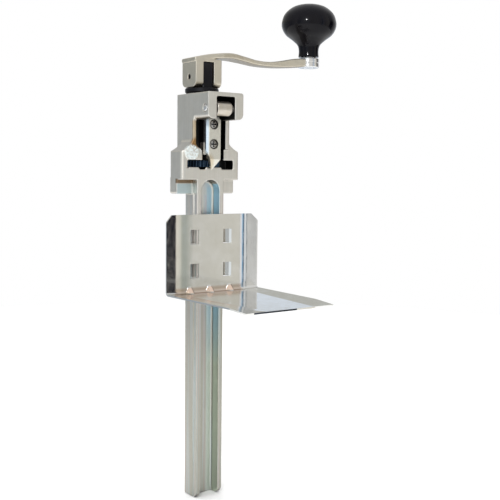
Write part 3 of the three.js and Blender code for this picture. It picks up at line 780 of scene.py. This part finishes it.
def rear_bulge():
    """The round wall of the gear's pocket, as far as it stands out behind the bar."""
    bulge = rod("bulge", "z", BULGE["radius"], BULGE["bottom"], BULGE["top"], 2, segments=72)
    half = LOWER_HALF_WIDTH
    return keep_common(bulge, block("behind", (-half, half), (0, 45), (LIP_BOTTOM, SHOULDER_TOP)))


def behind_slot():
    half = UPPER_HALF_WIDTH
    return block("behind_slot", (-half, half), (0, UPPER_BACK), (SLOT_CEILING, CHEEK_BOTTOM + 1))


def tabs():
    half, top = LOWER_HALF_WIDTH, LIP_BOTTOM + 2
    outline = rounded([(-half, top), (-half, TAB_BOTTOM, 1.5), (half, TAB_BOTTOM, 1.5), (half, top)])
    return prism("tabs", "y", outline, TAB_FRONT, BAR_BACK)


def head_hollows():
    """The gear's slot and pocket, the knife holder's channel and window, and the bores."""
    left, right, back = CHANNEL["left"], CHANNEL["right"], CHANNEL["back"]
    lower_left, floor = CHANNEL["lower_left"], SLOT_FLOOR + 3
    channel = rounded([
        (lower_left, floor), (right, floor), (right, NOSE_BOTTOM, 1), (left, NOSE_BOTTOM, 1),
        (left, CHANNEL["step_high"], 4), (lower_left, CHANNEL["step_low"], 1.5),
    ])
    half = WINDOW["half"]
    window = rectangle((-half, half), (NOSE_BOTTOM - 3, WINDOW["top"]), (0, 0, 1, 1))
    half = SLOT_HALF_WIDTH
    slot = rectangle((-half, half), (SLOT_FLOOR, SLOT_CEILING), (1, 1, 1, 1))
    end = UPPER_HALF_WIDTH + 2
    return [
        prism("slot", "y", slot, FRONT - 2, -4),
        rod("gear_pocket", "z", GEAR_POCKET_RADIUS, SLOT_FLOOR, SLOT_CEILING, 0.3),
        rod("screw_pocket", "z", 6.5, GEAR_SCREW_BOTTOM - 1, SLOT_FLOOR + 2, 0.3),
        rod("bore", "z", BUSHING_RADIUS + 0.2, SLOT_CEILING - 2, HEAD_TOP + 2, 0.3),
        prism("channel", "y", channel, CHEEK_FRONT - 2, back),
        prism("window", "y", window, NOSE_FRONT - 2, back),
        rod("pin_hole", "x", 3.75, -end, end, 0.1, centre=PIVOT),
    ]


def slot_lips():
    """Two low ridges on the slot's front edge."""
    lips = []
    for span in LIP_SPANS:
        outline = rectangle(span, (SLOT_FLOOR - 2, LIP_TOP), (0, 0, 0.8, 0.8))
        lips.append(prism("lip", "y", outline, FRONT, LIP_BACK))
    return lips


def make_casting():
    head = join(lower_head(), upper_head(), right_cheek(), nose(), tabs(), rear_bulge(), behind_slot())
    head = cut(head, *head_hollows())
    casting = join(head, bar_blank(), *slot_lips())
    casting = cut(casting, groove())
    casting.name = "casting"
    soften(casting, 0.55, 4, 0.3)
    place(casting, "frame", "nickel_casting", "frame_casting")


# ------ washers, bushings and pins

CLIP_BOTTOM = KNOB_BASE + 24.6
RINGS = {
    # name: (inner radius, outer radius, bottom, top, axis x, body, slot)
    "upper_bushing": (6.2, BUSHING_RADIUS, HEAD_TOP - 18.3, HEAD_TOP - 0.3, 0, "frame", "bronze"),
    "lower_bushing": (6.2, BUSHING_RADIUS, SLOT_CEILING + 0.3, SLOT_CEILING + 18.3, 0, "frame", "bronze"),
    "thrust_washer": (6.3, FLANGE_RADIUS - 1, HEAD_TOP + 0.3, HEAD_TOP + 1.3, 0, "crank", "black_oxide"),
    "gear_washer": (2.5, 6, GEAR_BOTTOM - 1.3, GEAR_BOTTOM - 0.3, 0, "crank", "black_oxide"),
    "knob_washer": (3.9, 8.5, BOSS_TOP + 0.3, BOSS_TOP + 1.3, CRANK_RADIUS, "crank", "machined_steel"),
    "spindle_clip": (
        3.1, 5.8, CLIP_BOTTOM + 0.15, CLIP_BOTTOM + 1.05, CRANK_RADIUS, "crank", "machined_steel",
    ),
    "knob_bushing": (3.8, 6.2, KNOB_BASE + 0.3, KNOB_BASE + 24.3, CRANK_RADIUS, "knob", "brass"),
}


def make_rings():
    for name, (inner, outer, bottom, top, x, body, slot) in RINGS.items():
        ring = lathe(name + "_ring", "z", ring_profile(inner, outer, bottom, top), (x, 0))
        if name == "spindle_clip":
            cut(ring, block("mouth", (x + 2, x + 7), (-1.6, 1.6), (bottom - 1, top + 1)))
        smooth_by_angle(ring)
        place(ring, body, slot, name)


def make_holder_pin():
    """A round pin with domed ends."""
    half = UPPER_HALF_WIDTH + 0.3
    dome = [(0, 0), (2.2, 0.15), (3.0, 0.5), (3.4, 1.1)]  # radius and distance from the end
    left = [(radius, -half + inset) for radius, inset in dome]
    right = [(radius, half - inset) for radius, inset in reversed(dome)]
    pin = smooth_by_angle(lathe("pivot_pin", "x", [*left, *right], PIVOT), 50)
    place(pin, "frame", "machined_steel", "holder_pin")


def make_crank_pin():
    """A rolled spring pin: a tube with a slit."""
    half_length = 14.4
    profile = ring_profile(1.5, 2.5, -half_length, half_length, 0.3)
    pin = lathe("spring_pin", "x", profile, (0, PIN_HEIGHT))
    cut(pin, block("slit", (-20, 20), (-0.3, 0.3), (PIN_HEIGHT + 1, PIN_HEIGHT + 4)))
    smooth_by_angle(pin)
    place(pin, "crank", "black_oxide", "crank_pin")


# ------ arbor and gear


def make_arbor():
    """A shaft with a flange on the head, a tang for the crank above it and a square for the gear."""
    wide, deep = TANG["half_width"], TANG["half_depth"]
    tang = rectangle((-wide, wide), (-deep, deep), (1, 1, 1, 1))
    half = SQUARE_HALF
    square = rectangle((-half, half), (-half, half), (0.6, 0.6, 0.6, 0.6))
    arbor = join(
        rod("arbor_shaft", "z", SHAFT_RADIUS, GEAR_TOP + 0.3, FLANGE_BOTTOM + 1),
        rod("flange", "z", FLANGE_RADIUS, FLANGE_BOTTOM, FLANGE_TOP, 0.9, segments=96),
        prism("tang", "z", tang, FLANGE_TOP - 1, FLANGE_TOP + 25),
        prism("square", "z", square, GEAR_BOTTOM + 0.3, GEAR_TOP + 1),
    )
    cut(
        arbor,
        rod("pin_hole", "x", PIN_HOLE_RADIUS, -20, 20, centre=(0, PIN_HEIGHT)),
        rod("screw_hole", "z", 2.4, GEAR_BOTTOM - 1, GEAR_TOP + 9),
    )
    bevel(arbor, 0.35, 40)
    place(arbor, "crank", "black_oxide", "arbor")


# The corners of one tooth, as radius, share of the tooth's pitch and fillet.
TOOTH = ((GEAR_ROOT, 0.02, 0.35), (GEAR_TIP, 0.3, 0.3), (GEAR_TIP, 0.55, 0.3), (GEAR_ROOT, 0.83, 0.35))


def make_gear():
    """The feed gear that grips the can's rim, with rounded teeth."""
    corners = []
    for tooth in range(GEAR_TEETH):
        for radius, share, fillet in TOOTH:
            angle = math.tau * (tooth + share) / GEAR_TEETH
            corners.append((radius * math.cos(angle), radius * math.sin(angle), fillet))
    gear = prism("toothed_gear", "z", rounded(corners, 3), GEAR_BOTTOM, GEAR_TOP)
    half = SQUARE_HALF + 0.2
    cut(gear, block("square_hole", (-half, half), (-half, half), (GEAR_BOTTOM - 1, GEAR_TOP + 1)))
    bevel(gear, 0.3, 60)
    place(gear, "crank", "gear_steel", "feed_gear")


def make_gear_screw():
    bottom, head_top = GEAR_SCREW_BOTTOM, GEAR_BOTTOM - 1.6
    screw = join(
        rod("slotted_screw", "z", 3.8, bottom, head_top, 0.6),
        rod("shank", "z", 2.2, head_top - 1, GEAR_TOP + 8),
    )
    cut(screw, block("screw_slot", (-5, 5), (-0.6, 0.6), (bottom - 1, bottom + 1)))
    smooth_by_angle(screw)
    place(screw, "crank", "black_oxide", "gear_screw")


# ------ crank arm

# The strip's top and bottom from the side (x, z) and its half width from above (x, half width).
ARM_TOP = [
    (-16, 447.2), (-4, 450.2), (8, 452.4), (30, 454.8), (48, 453.1),
    (64, 450.9), (80, 450.7), (96, 453.1), (114, 456.7), (130, 458.1),
]
ARM_BOTTOM = [
    (-16, 443.5), (8, 447), (30, 449.2), (48, 447.8), (64, 445.9),
    (80, 445.6), (96, 446.2), (114, 447.8), (130, 449.6),
]
ARM_PLAN = [(-16, 13), (18, 13), (44, 9.2), (60, 7.7), (100, 7.8), (132, 8.8)]
FORK = {"half_width": 15.3, "half_depth": 13, "slot_half": 6.2}


def read_off(line, x):
    """The second coordinate of a line at x."""
    for (start, low), (end, high) in zip(line, line[1:]):
        if x <= end:
            return low + (high - low) * max(0, x - start) / (end - start)
    return line[-1][1]


def arm_strip():
    """The forged strip, with rounded edges: thin in the middle and thicker towards its boss."""
    top, bottom = smooth_line(ARM_TOP), smooth_line(ARM_BOTTOM)
    sections = []
    for x in spread(ARM_TOP[0][0], ARM_TOP[-1][0], 1.5):
        wide = read_off(ARM_PLAN, x)
        edge = rectangle((-wide, wide), (read_off(bottom, x), read_off(top, x)), (1.6, 1.6, 1.6, 1.6), 4)
        sections.append([(x, across, up) for across, up in edge])
    return loft("strip", sections)


def make_crank_strip():
    """The arm's fork and its strip, in one piece."""
    bottom = FLANGE_TOP + 0.6
    slot_top = FLANGE_TOP + 25.3
    deep, wide, slot = FORK["half_depth"], FORK["half_width"], FORK["slot_half"]
    ears = rectangle((deep, -deep), (slot_top + 3, bottom), (0, 0, 6, 6), 8)
    arm = join(arm_strip(), prism("fork", "x", ears, -wide, wide))
    cut(
        arm,
        block("fork_slot", (-slot, slot), (-20, 20), (bottom - 1, slot_top)),
        rod("pin_hole", "x", PIN_HOLE_RADIUS, -20, 20, centre=(0, PIN_HEIGHT)),
    )
    arm.name = "crank_strip"
    soften(arm, 0.42, 4, 0.35)
    place(arm, "crank", "nickel_strip", "crank_arm")


def make_boss_collar():
    """The turned boss at the arm's end, with a groove round it and a sink for the spindle's head."""
    low, high, radius = BOSS_BOTTOM, BOSS_TOP, BOSS_RADIUS
    sink, sink_radius, bore = low + 2.3, 6.4, 3.8
    profile = [
        (bore, sink), (sink_radius, sink), (sink_radius, low), (radius - 0.7, low), (radius, low + 0.7),
        (radius, 453.6), (radius - 0.4, 454), (radius - 0.4, 454.6), (radius, 455),
        (radius, high - 0.6), (radius - 0.6, high), (bore + 0.4, high), (bore, high - 0.4),
    ]
    collar = smooth_by_angle(lathe("boss_collar", "z", profile, (CRANK_RADIUS, 0), 96))
    place(collar, "crank", "machined_steel", "crank_arm")


# ------ knob

# The knob's outline, as radius and height above its foot.
KNOB_PROFILE = [
    (11.2, 0), (10.8, 7), (12.3, 13), (17.6, 18.2), (25.5, 24.4), (29.5, 31.6),
    (29.6, 38.4), (26.5, 46.4), (19, 53), (9.6, 56.2), (0, 56.75),
]


def make_knob():
    outer = [(max(0, point.x), KNOB_BASE + point.y) for point in smooth_line(KNOB_PROFILE)]
    foot_radius = outer[0][0]
    outer[:1] = [(foot_radius - 0.4, KNOB_BASE), (foot_radius, KNOB_BASE + 0.4)]
    bore_radius, bore_top = 6.6, KNOB_BASE + 34
    bore = [(0, bore_top), (bore_radius, bore_top), (bore_radius, KNOB_BASE)]
    knob = smooth_by_angle(lathe("hand_knob", "z", [*outer, *bore], (CRANK_RADIUS, 0), 128), 40)
    place(knob, "knob", "gloss_black_plastic", "knob")


def make_spindle():
    """The rivet that the knob turns on, with a groove for its clip."""
    low, head_top, clip = BOSS_BOTTOM, BOSS_BOTTOM + 2, CLIP_BOTTOM
    radius, head_radius, groove_radius = SPINDLE_RADIUS, 6.2, 2.9
    profile = [
        (0, low), (head_radius - 0.6, low), (head_radius, low + 0.6), (head_radius, head_top - 0.3),
        (head_radius - 0.3, head_top), (radius, head_top), (radius, clip), (groove_radius, clip),
        (groove_radius, clip + 1.2), (radius, clip + 1.2), (radius, clip + 2.8), (radius - 0.4, clip + 3.2),
        (0, clip + 3.2),
    ]
    spindle = smooth_by_angle(lathe("rivet_spindle", "z", profile, (CRANK_RADIUS, 0)))
    place(spindle, "crank", "machined_steel", "knob_spindle")


# ------ knife and its holder


def make_knife():
    """The blade. Its point is cut further up on the left than on the right."""
    left, right = KNIFE_X - KNIFE_HALF, KNIFE_X + KNIFE_HALF
    top, front, back = KNIFE_TOP, KNIFE_FRONT, KNIFE_BACK
    shoulder, below = KNIFE_SHOULDERS["right"], KNIFE_POINT - 1.1
    outline = rounded([
        (KNIFE_X, KNIFE_POINT, 0.5), (right, shoulder, 0.8), (right, top - 3, 0.6), (right - 3, top, 0.6),
        (left + 3, top, 0.6), (left, top - 3, 0.6), (left, KNIFE_SHOULDERS["left"], 0.8),
    ])
    knife = prism("knife_blade", "y", outline, front, back)
    grind = [(front - 1, shoulder + 1), (front, shoulder), (back - 0.4, below), (front - 1, below)]
    flank = [(left - 1, front - 1), (left + 3.4, front - 1), (left - 1, front + 3.4)]
    tools = [prism("grind", "x", grind, -20, 20), prism("flank", "z", flank, 330, 395)]
    for height in SCREW_HEIGHTS.values():
        for radius, end, chamfer in ((2.8, back + 1, 0.4), (4.95, front + 2.6, 0.1)):
            tools.append(rod("hole", "y", radius, front - 1, end, chamfer, centre=(KNIFE_X, height)))
    cut(knife, *tools)
    bevel(knife, 0.3, 25)
    smooth_by_angle(knife, 15)
    place(knife, "knife_carrier", "knife_steel", "knife")


def make_knife_screw(node, surface):
    """A screw with a cross recess in its low domed head."""
    centre = (KNIFE_X, SCREW_HEIGHTS[node])
    top, seat, end = KNIFE_FRONT + 0.3, KNIFE_FRONT + 2.3, -12.4
    profile = [
        (0, top), (1.8, top + 0.05), (3.2, top + 0.3), (4.2, top + 0.75), (4.6, top + 1.2), (4.6, seat),
        (2.5, seat), (2.5, end - 0.4), (2.1, end), (0, end),
    ]
    screw = lathe(node + "_cross", "y", profile, centre)
    cut(screw, *[block("recess", x, (top - 1, top + 1.2), z) for x, z in cross(centre[1], 0.65)])
    smooth_by_angle(screw)
    place(screw, "knife_carrier", "machined_steel", node, surface=surface)


def make_knife_holder(surface):
    """A barrel on the pin, an arm back over the knife and a leg down behind it."""
    y, z = PIVOT
    seat, back, arm_bottom, leg_bottom = KNIFE_BACK + 0.3, -11.5, 390, 351.5
    left, right = KNIFE_X - 8.5, KNIFE_X + 8.5
    outline = [
        (y, z - 6.4), (KNIFE_FRONT, arm_bottom), (seat, arm_bottom), (seat, leg_bottom),
        (back, leg_bottom), (back, 400), (back - 3.5, 402), (y, z + 6.8),
    ]
    holder = join(
        prism("cast_holder", "x", outline, left, right),
        rod("barrel", "x", 7, left, right, 0.5, centre=PIVOT),
    )
    tools = [rod("pin_bore", "x", 3.65, -20, 20, centre=PIVOT)]
    for height in SCREW_HEIGHTS.values():
        tools.append(rod("hole", "y", 2.75, seat - 1, -10, centre=(KNIFE_X, height)))
    cut(holder, *tools)
    soften(holder, 0.4, 3, 0.35)
    place(holder, "knife_carrier", "nickel_casting", "knife_holder", surface=surface)


# ------ can shelf

SHELF = {
    "top": 292.2, "front": -150, "half": 54.5, "front_half": 49.5,
    "bend": (33.5, 43.5), "flare": 0.268,  # where the wings bend, and the slope at which they lean forward
    "clip": 7,  # of the upper corners
    "taper_from": -25,  # from here to its front edge the floor gets narrower
}
CREASE = {"x": 38.5, "y": -19, "forward": 131, "inward": 12.5, "length": 131.6}
FINE_GRID = 9.6  # how far the darts need fine rows up the plate and out along the floor
INNER_RADIUS = 2.5  # on the inner face of the bend between plate and floor
HOOKS = {
    "heights": (235.8, 269.8), "half": 7.3, "tip_half": 7, "window": (14.6, 24.6),
    "elbow": 16.5, "tip": 14.775, "back": -10.4,
}
DARTS = {"at": (-25.4, -1.6, 22.3), "half": 5.4, "leg": 6.4}
EDGE = 54.45  # trims the wings' bevelled edges


def chain(stops):
    """Values spread between the stops. A stop is (place, rough step from there to the next)."""
    pairs = zip(stops, stops[1:])
    return [value for (start, step), (end, _) in pairs for value in spread(start, end, step)]


def shelf_columns():
    """Where the sheet's grid lines run upright: close together at darts, bends and window edges."""
    half, (start, end), (near, far) = SHELF["half"], SHELF["bend"], HOOKS["window"]
    left = DARTS["at"][0] + DARTS["half"] + 0.2
    right = DARTS["at"][2] - DARTS["half"] - 0.2
    clip = half - SHELF["clip"]
    return chain([
        (-half, 1), (-clip, 1.1), (-end, 0.75), (-start, 0.6), (-far, 0.6), (left, 0.9), (-near, 0.6),
        (near, 0.9), (right, 0.6), (far, 0.6), (start, 0.75), (end, 1.1), (clip, 1), (half, 0),
    ]) + [half]


def shelf_rows():
    """Distances down the plate, round the bend and out along the floor, as (y, z) of the inner face."""
    low, high = HOOKS["heights"]
    half = HOOKS["half"]
    corner = FLOOR_TOP + INNER_RADIUS
    plate = chain([
        (SHELF["top"], 2.5), (high + half, 2.5), (high - half, 2.5), (low + half, 2.5), (low - half, 1.5),
        (FLOOR_TOP + FINE_GRID, 0.6), (corner, 0),
    ])
    rows = [(PLATE_FRONT, z) for z in plate]
    for step in range(6):
        angle = math.radians(90 * step / 6)
        across = INNER_RADIUS * (1 - math.cos(angle))
        rows.append((PLATE_FRONT - across, corner - INNER_RADIUS * math.sin(angle)))
    front = SHELF["front"]
    floor = chain([(PLATE_FRONT - INNER_RADIUS, 0.6), (PLATE_FRONT - FINE_GRID, 2.2), (front, 0)])
    return rows + [(y, FLOOR_TOP) for y in [*floor, front]]


def wing_lean(x):
    """How far the side wings lean forward. The bend towards them is a wide arc."""
    start, end = SHELF["bend"]
    along = abs(x) - start
    if along <= 0:
        return 0
    width = end - start
    return SHELF["flare"] * (along ** 2 / (2 * width) if along < width else along - width / 2)


def floor_crease(x, y):
    """The floor's side strips are bent up a little along a slanting crease."""
    across = (abs(x) - CREASE["x"]) * CREASE["forward"] - (y - CREASE["y"]) * CREASE["inward"]
    outside = across / CREASE["length"]
    return 0.08 * min(max(0, outside), 0.81 * max(0, y - SHELF["front"]))


def shelf_point(x, y, z):
    """Moves a point of the flat grid to its place on the finished shelf."""
    edge = SHELF["half"] - SHELF["clip"]
    upper = HOOKS["heights"][1] + HOOKS["half"]
    if z > upper and abs(x) > edge:
        z -= (abs(x) - edge) * (z - upper) / (SHELF["top"] - upper)
    for dart in DARTS["at"]:
        leg = DARTS["leg"] * min(1, 1.5 * (1 - abs(x - dart) / DARTS["half"]))
        lift = (leg - (PLATE_FRONT - y) - (z - FLOOR_TOP)) / 2
        if lift > 0:
            y -= lift
            z += lift
    reach = (y - SHELF["front"]) / (PLATE_FRONT - SHELF["front"])
    y -= wing_lean(x) * max(0, reach)
    taper = max(0, SHELF["taper_from"] - y) / (SHELF["taper_from"] - SHELF["front"])
    x *= 1 - taper * (1 - SHELF["front_half"] / SHELF["half"])
    fade = min(1, max(0, (235 - z) / 20))  # keeps the floor's crease off the plate
    return (x, y, z + fade * floor_crease(x, y))


def shelf_sheet():
    """The points and faces of the sheet's inner side, open at the hooks' windows."""
    columns, rows = shelf_columns(), shelf_rows()
    wide = len(columns)
    vertices = [shelf_point(x, y, z) for y, z in rows for x in columns]
    faces = []
    for row, ((_, upper), (_, lower)) in enumerate(zip(rows, rows[1:])):
        for column, (start, end) in enumerate(zip(columns, columns[1:])):
            x = abs(start + end) / 2
            z = (upper + lower) / 2
            in_height = any(abs(z - height) < HOOKS["half"] for height in HOOKS["heights"])
            if in_height and HOOKS["window"][0] < x < HOOKS["window"][1]:
                continue
            first = row * wide + column
            faces.append((first, first + wide, first + wide + 1, first + 1))
    return vertices, faces


def make_shelf():
    shelf = from_points("folded_shelf", *shelf_sheet())
    modify(shelf, "SOLIDIFY", thickness=SHEET * MM, offset=-1, use_even_offset=True)
    add_bevel(shelf, 0.2, 60)
    apply_modifiers(shelf)
    for vertex in shelf.data.vertices:
        vertex.co.x = min(EDGE * MM, max(-EDGE * MM, vertex.co.x))
    join(shelf, *[hook(side, height) for side in (-1, 1) for height in HOOKS["heights"]])
    smooth_by_angle(shelf)
    place(shelf, "shelf", "polished_sheet", "can_shelf")


def hook(side, height):
    """A tapered tab bent back from its window's outer edge. Its lip runs in the bar's side groove."""
    hinge, elbow, tip, back = HOOKS["window"][1], HOOKS["elbow"], HOOKS["tip"], HOOKS["back"]
    front = back - SHEET
    slant = Vector((elbow - hinge, front - PLATE_FRONT)).normalized()
    corner = (hinge + SHEET * slant.y, PLATE_FRONT - SHEET * slant.x)

    def on_back_face(y):
        return (corner[0] + (y - corner[1]) * slant.x / slant.y, y)

    root = hinge + SHEET
    plan = rounded([
        (root, PLATE_FRONT), (hinge, PLATE_FRONT, 0.5), (elbow, front, 0.5), (tip, front), (tip, back),
        (*on_back_face(back), 2), (*on_back_face(PLATE_FRONT + SHEET), 0.3), (root, PLATE_FRONT + SHEET),
    ], 6)
    half, tip_half = HOOKS["half"] - 0.02, HOOKS["tip_half"]
    face = [
        (tip - 1, height - tip_half), (root + 1, height - half),
        (root + 1, height + half), (tip - 1, height + tip_half),
    ]
    strip = prism("hook", "z", [(side * x, y) for x, y in plan], height - half, height + half)
    keep_common(strip, prism("face", "y", [(side * x, z) for x, z in face], PLATE_FRONT - 1, back + 1))
    return bevel(strip, 0.15, 60)


# ------ camera, floor and light

CAMERA_PLACE = (-467.8, -734.0, 334.6)
CAMERA_YAW = math.radians(35.82)  # to the right of straight ahead (+Y)
CAMERA_PITCH = math.radians(-5.23)
CAMERA_ROLL = math.radians(0.61)
CAMERA_LENS = 61.2  # on a sensor 36 mm wide


def make_camera():
    data = bpy.data.cameras.new("camera")
    data.lens = CAMERA_LENS
    data.clip_end = 50
    camera = link_new("camera", data)
    turn = Matrix.Rotation(-CAMERA_YAW, 4, "Z")
    tilt = Matrix.Rotation(math.pi / 2 + CAMERA_PITCH, 4, "X")
    roll = Matrix.Rotation(CAMERA_ROLL, 4, "Z")
    camera.matrix_world = Matrix.Translation(Vector(CAMERA_PLACE) * MM) @ turn @ tilt @ roll
    bpy.context.scene.camera = camera


def make_floor():
    """A round white floor."""
    radius, corners = 1300, 96
    angles = [math.tau * step / corners for step in range(corners)]
    rim = [(radius * math.cos(angle), radius * math.sin(angle), 0) for angle in angles]
    floor = solid("floor", rim, [tuple(range(corners))])
    look = Look("floor", (0.9, 0.9, 0.9), 0, 0.9)
    look.set("Specular IOR Level", 0.1)
    floor.data.materials.append(look.material)


def make_lamp(name, spot, aim, size, power, in_reflections):
    """A round lamp. spot, aim and size are in metres."""
    data = bpy.data.lights.new(name, "AREA")
    data.shape = "DISK"
    data.size = size
    data.energy = power
    lamp = link_new(name, data)
    lamp.location = spot
    lamp.rotation_euler = (Vector(aim) - Vector(spot)).to_track_quat("-Z", "Y").to_euler()
    lamp.visible_glossy = in_reflections


# Brightness and tint of the studio's walls by compass angle: 0 is to the right, 90 behind, -90 in front.
STUDIO = [
    (-180, (0.35, 0.4, 0.46)), (-168, (0.4, 0.46, 0.52)), (-158, (0.88, 0.95, 1)),
    (-135, (0.9, 0.95, 1)), (-122, (0.72, 0.71, 0.68)), (-100, (0.85, 0.83, 0.79)),
    (-88, (0.82, 0.8, 0.77)), (-84, (0.86, 0.85, 0.84)), (-82.5, (0.04, 0.07, 0.1)),
    (-81, (0.04, 0.07, 0.1)), (-80, (0.95, 0.97, 1)), (-75.2, (0.95, 0.97, 1)),
    (-74, (0.03, 0.07, 0.13)), (-70.5, (0.05, 0.12, 0.22)), (-69.5, (0.28, 0.55, 0.85)),
    (-67.5, (0.5, 0.74, 0.95)), (-66.5, (0.95, 0.95, 1)), (-61.8, (0.98, 0.95, 1)),
    (-60.2, (0.62, 0.61, 0.56)), (-54, (0.72, 0.7, 0.64)), (-50, (0.9, 0.86, 0.78)),
    (-34, (0.86, 0.81, 0.72)), (-33, (0.008, 0.008, 0.016)), (-12, (0.005, 0.005, 0.012)),
    (-6, (0.6, 0.6, 0.6)), (25, (0.95, 0.96, 1)), (50, (0.75, 0.82, 0.92)),
    (80, (0.75, 0.78, 0.82)), (108, (0.42, 0.46, 0.5)), (150, (0.36, 0.4, 0.45)),
    (180, (0.4, 0.45, 0.5)),
]
BACK_SHADE = (0.45, 0.45, 0.41)  # of the rear walls above the lowest band
CEILING = (0.8, 0.8, 0.8)
WHITE = (1, 1, 1)


def make_studio():
    """A surrounding that shows in the metal. The camera itself sees plain white."""
    world = bpy.data.worlds.new("studio")
    bpy.context.scene.world = world
    world.use_nodes = True
    nodes = Nodes(world.node_tree)
    direction = nodes.parts(nodes.node("TexCoord").outputs["Generated"])
    compass = nodes.math("ARCTAN2", direction["Y"], direction["X"])
    walls = nodes.node("ValToRGB")
    nodes.feed(walls.inputs["Fac"], nodes.remap(compass, 0, 1, -math.pi, math.pi))
    ramp = walls.color_ramp
    for index, (angle, color) in enumerate(STUDIO):
        position = (angle + 180) / 360
        stop = ramp.elements[index] if index < 1 else ramp.elements.new(position)
        stop.position = position
        stop.color = (*color, 1)
    ramp.elements.remove(ramp.elements[-1])
    above = nodes.remap(direction["Z"], 0, 1, 0.17, 0.19)
    behind = nodes.remap(direction["Y"], 0, 1, 0.3, 0.6)
    shaded = nodes.mix(nodes.math("MULTIPLY", above, behind), walls.outputs["Color"], BACK_SHADE)
    room = nodes.mix(nodes.remap(direction["Z"], 0, 1, 0.15, 0.7), shaded, CEILING)
    seen = nodes.node("LightPath").outputs["Is Camera Ray"]
    background = world.node_tree.nodes["Background"]
    nodes.feed(background.inputs["Color"], nodes.mix(seen, room, WHITE))


# ------ the whole scene

make_casting()
make_rings()
make_holder_pin()
make_crank_pin()
make_arbor()
make_gear()
make_gear_screw()
make_crank_strip()
make_boss_collar()
make_knob()
make_spindle()
make_knife()
cross_screws = screw_steel()
for screw in SCREW_HEIGHTS:
    make_knife_screw(screw, cross_screws)
make_knife_holder(holder_casting())
make_shelf()

make_camera()
make_floor()
make_lamp("overhead", (0, 0, 2.6), (0, 0, 0), 3.0, 60, False)
make_lamp("flash", (-0.72, -0.74, 0.86), (0, 0, 0.45), 0.07, 5, True)
make_studio()
bpy.context.scene.view_settings.view_transform = "Standard"
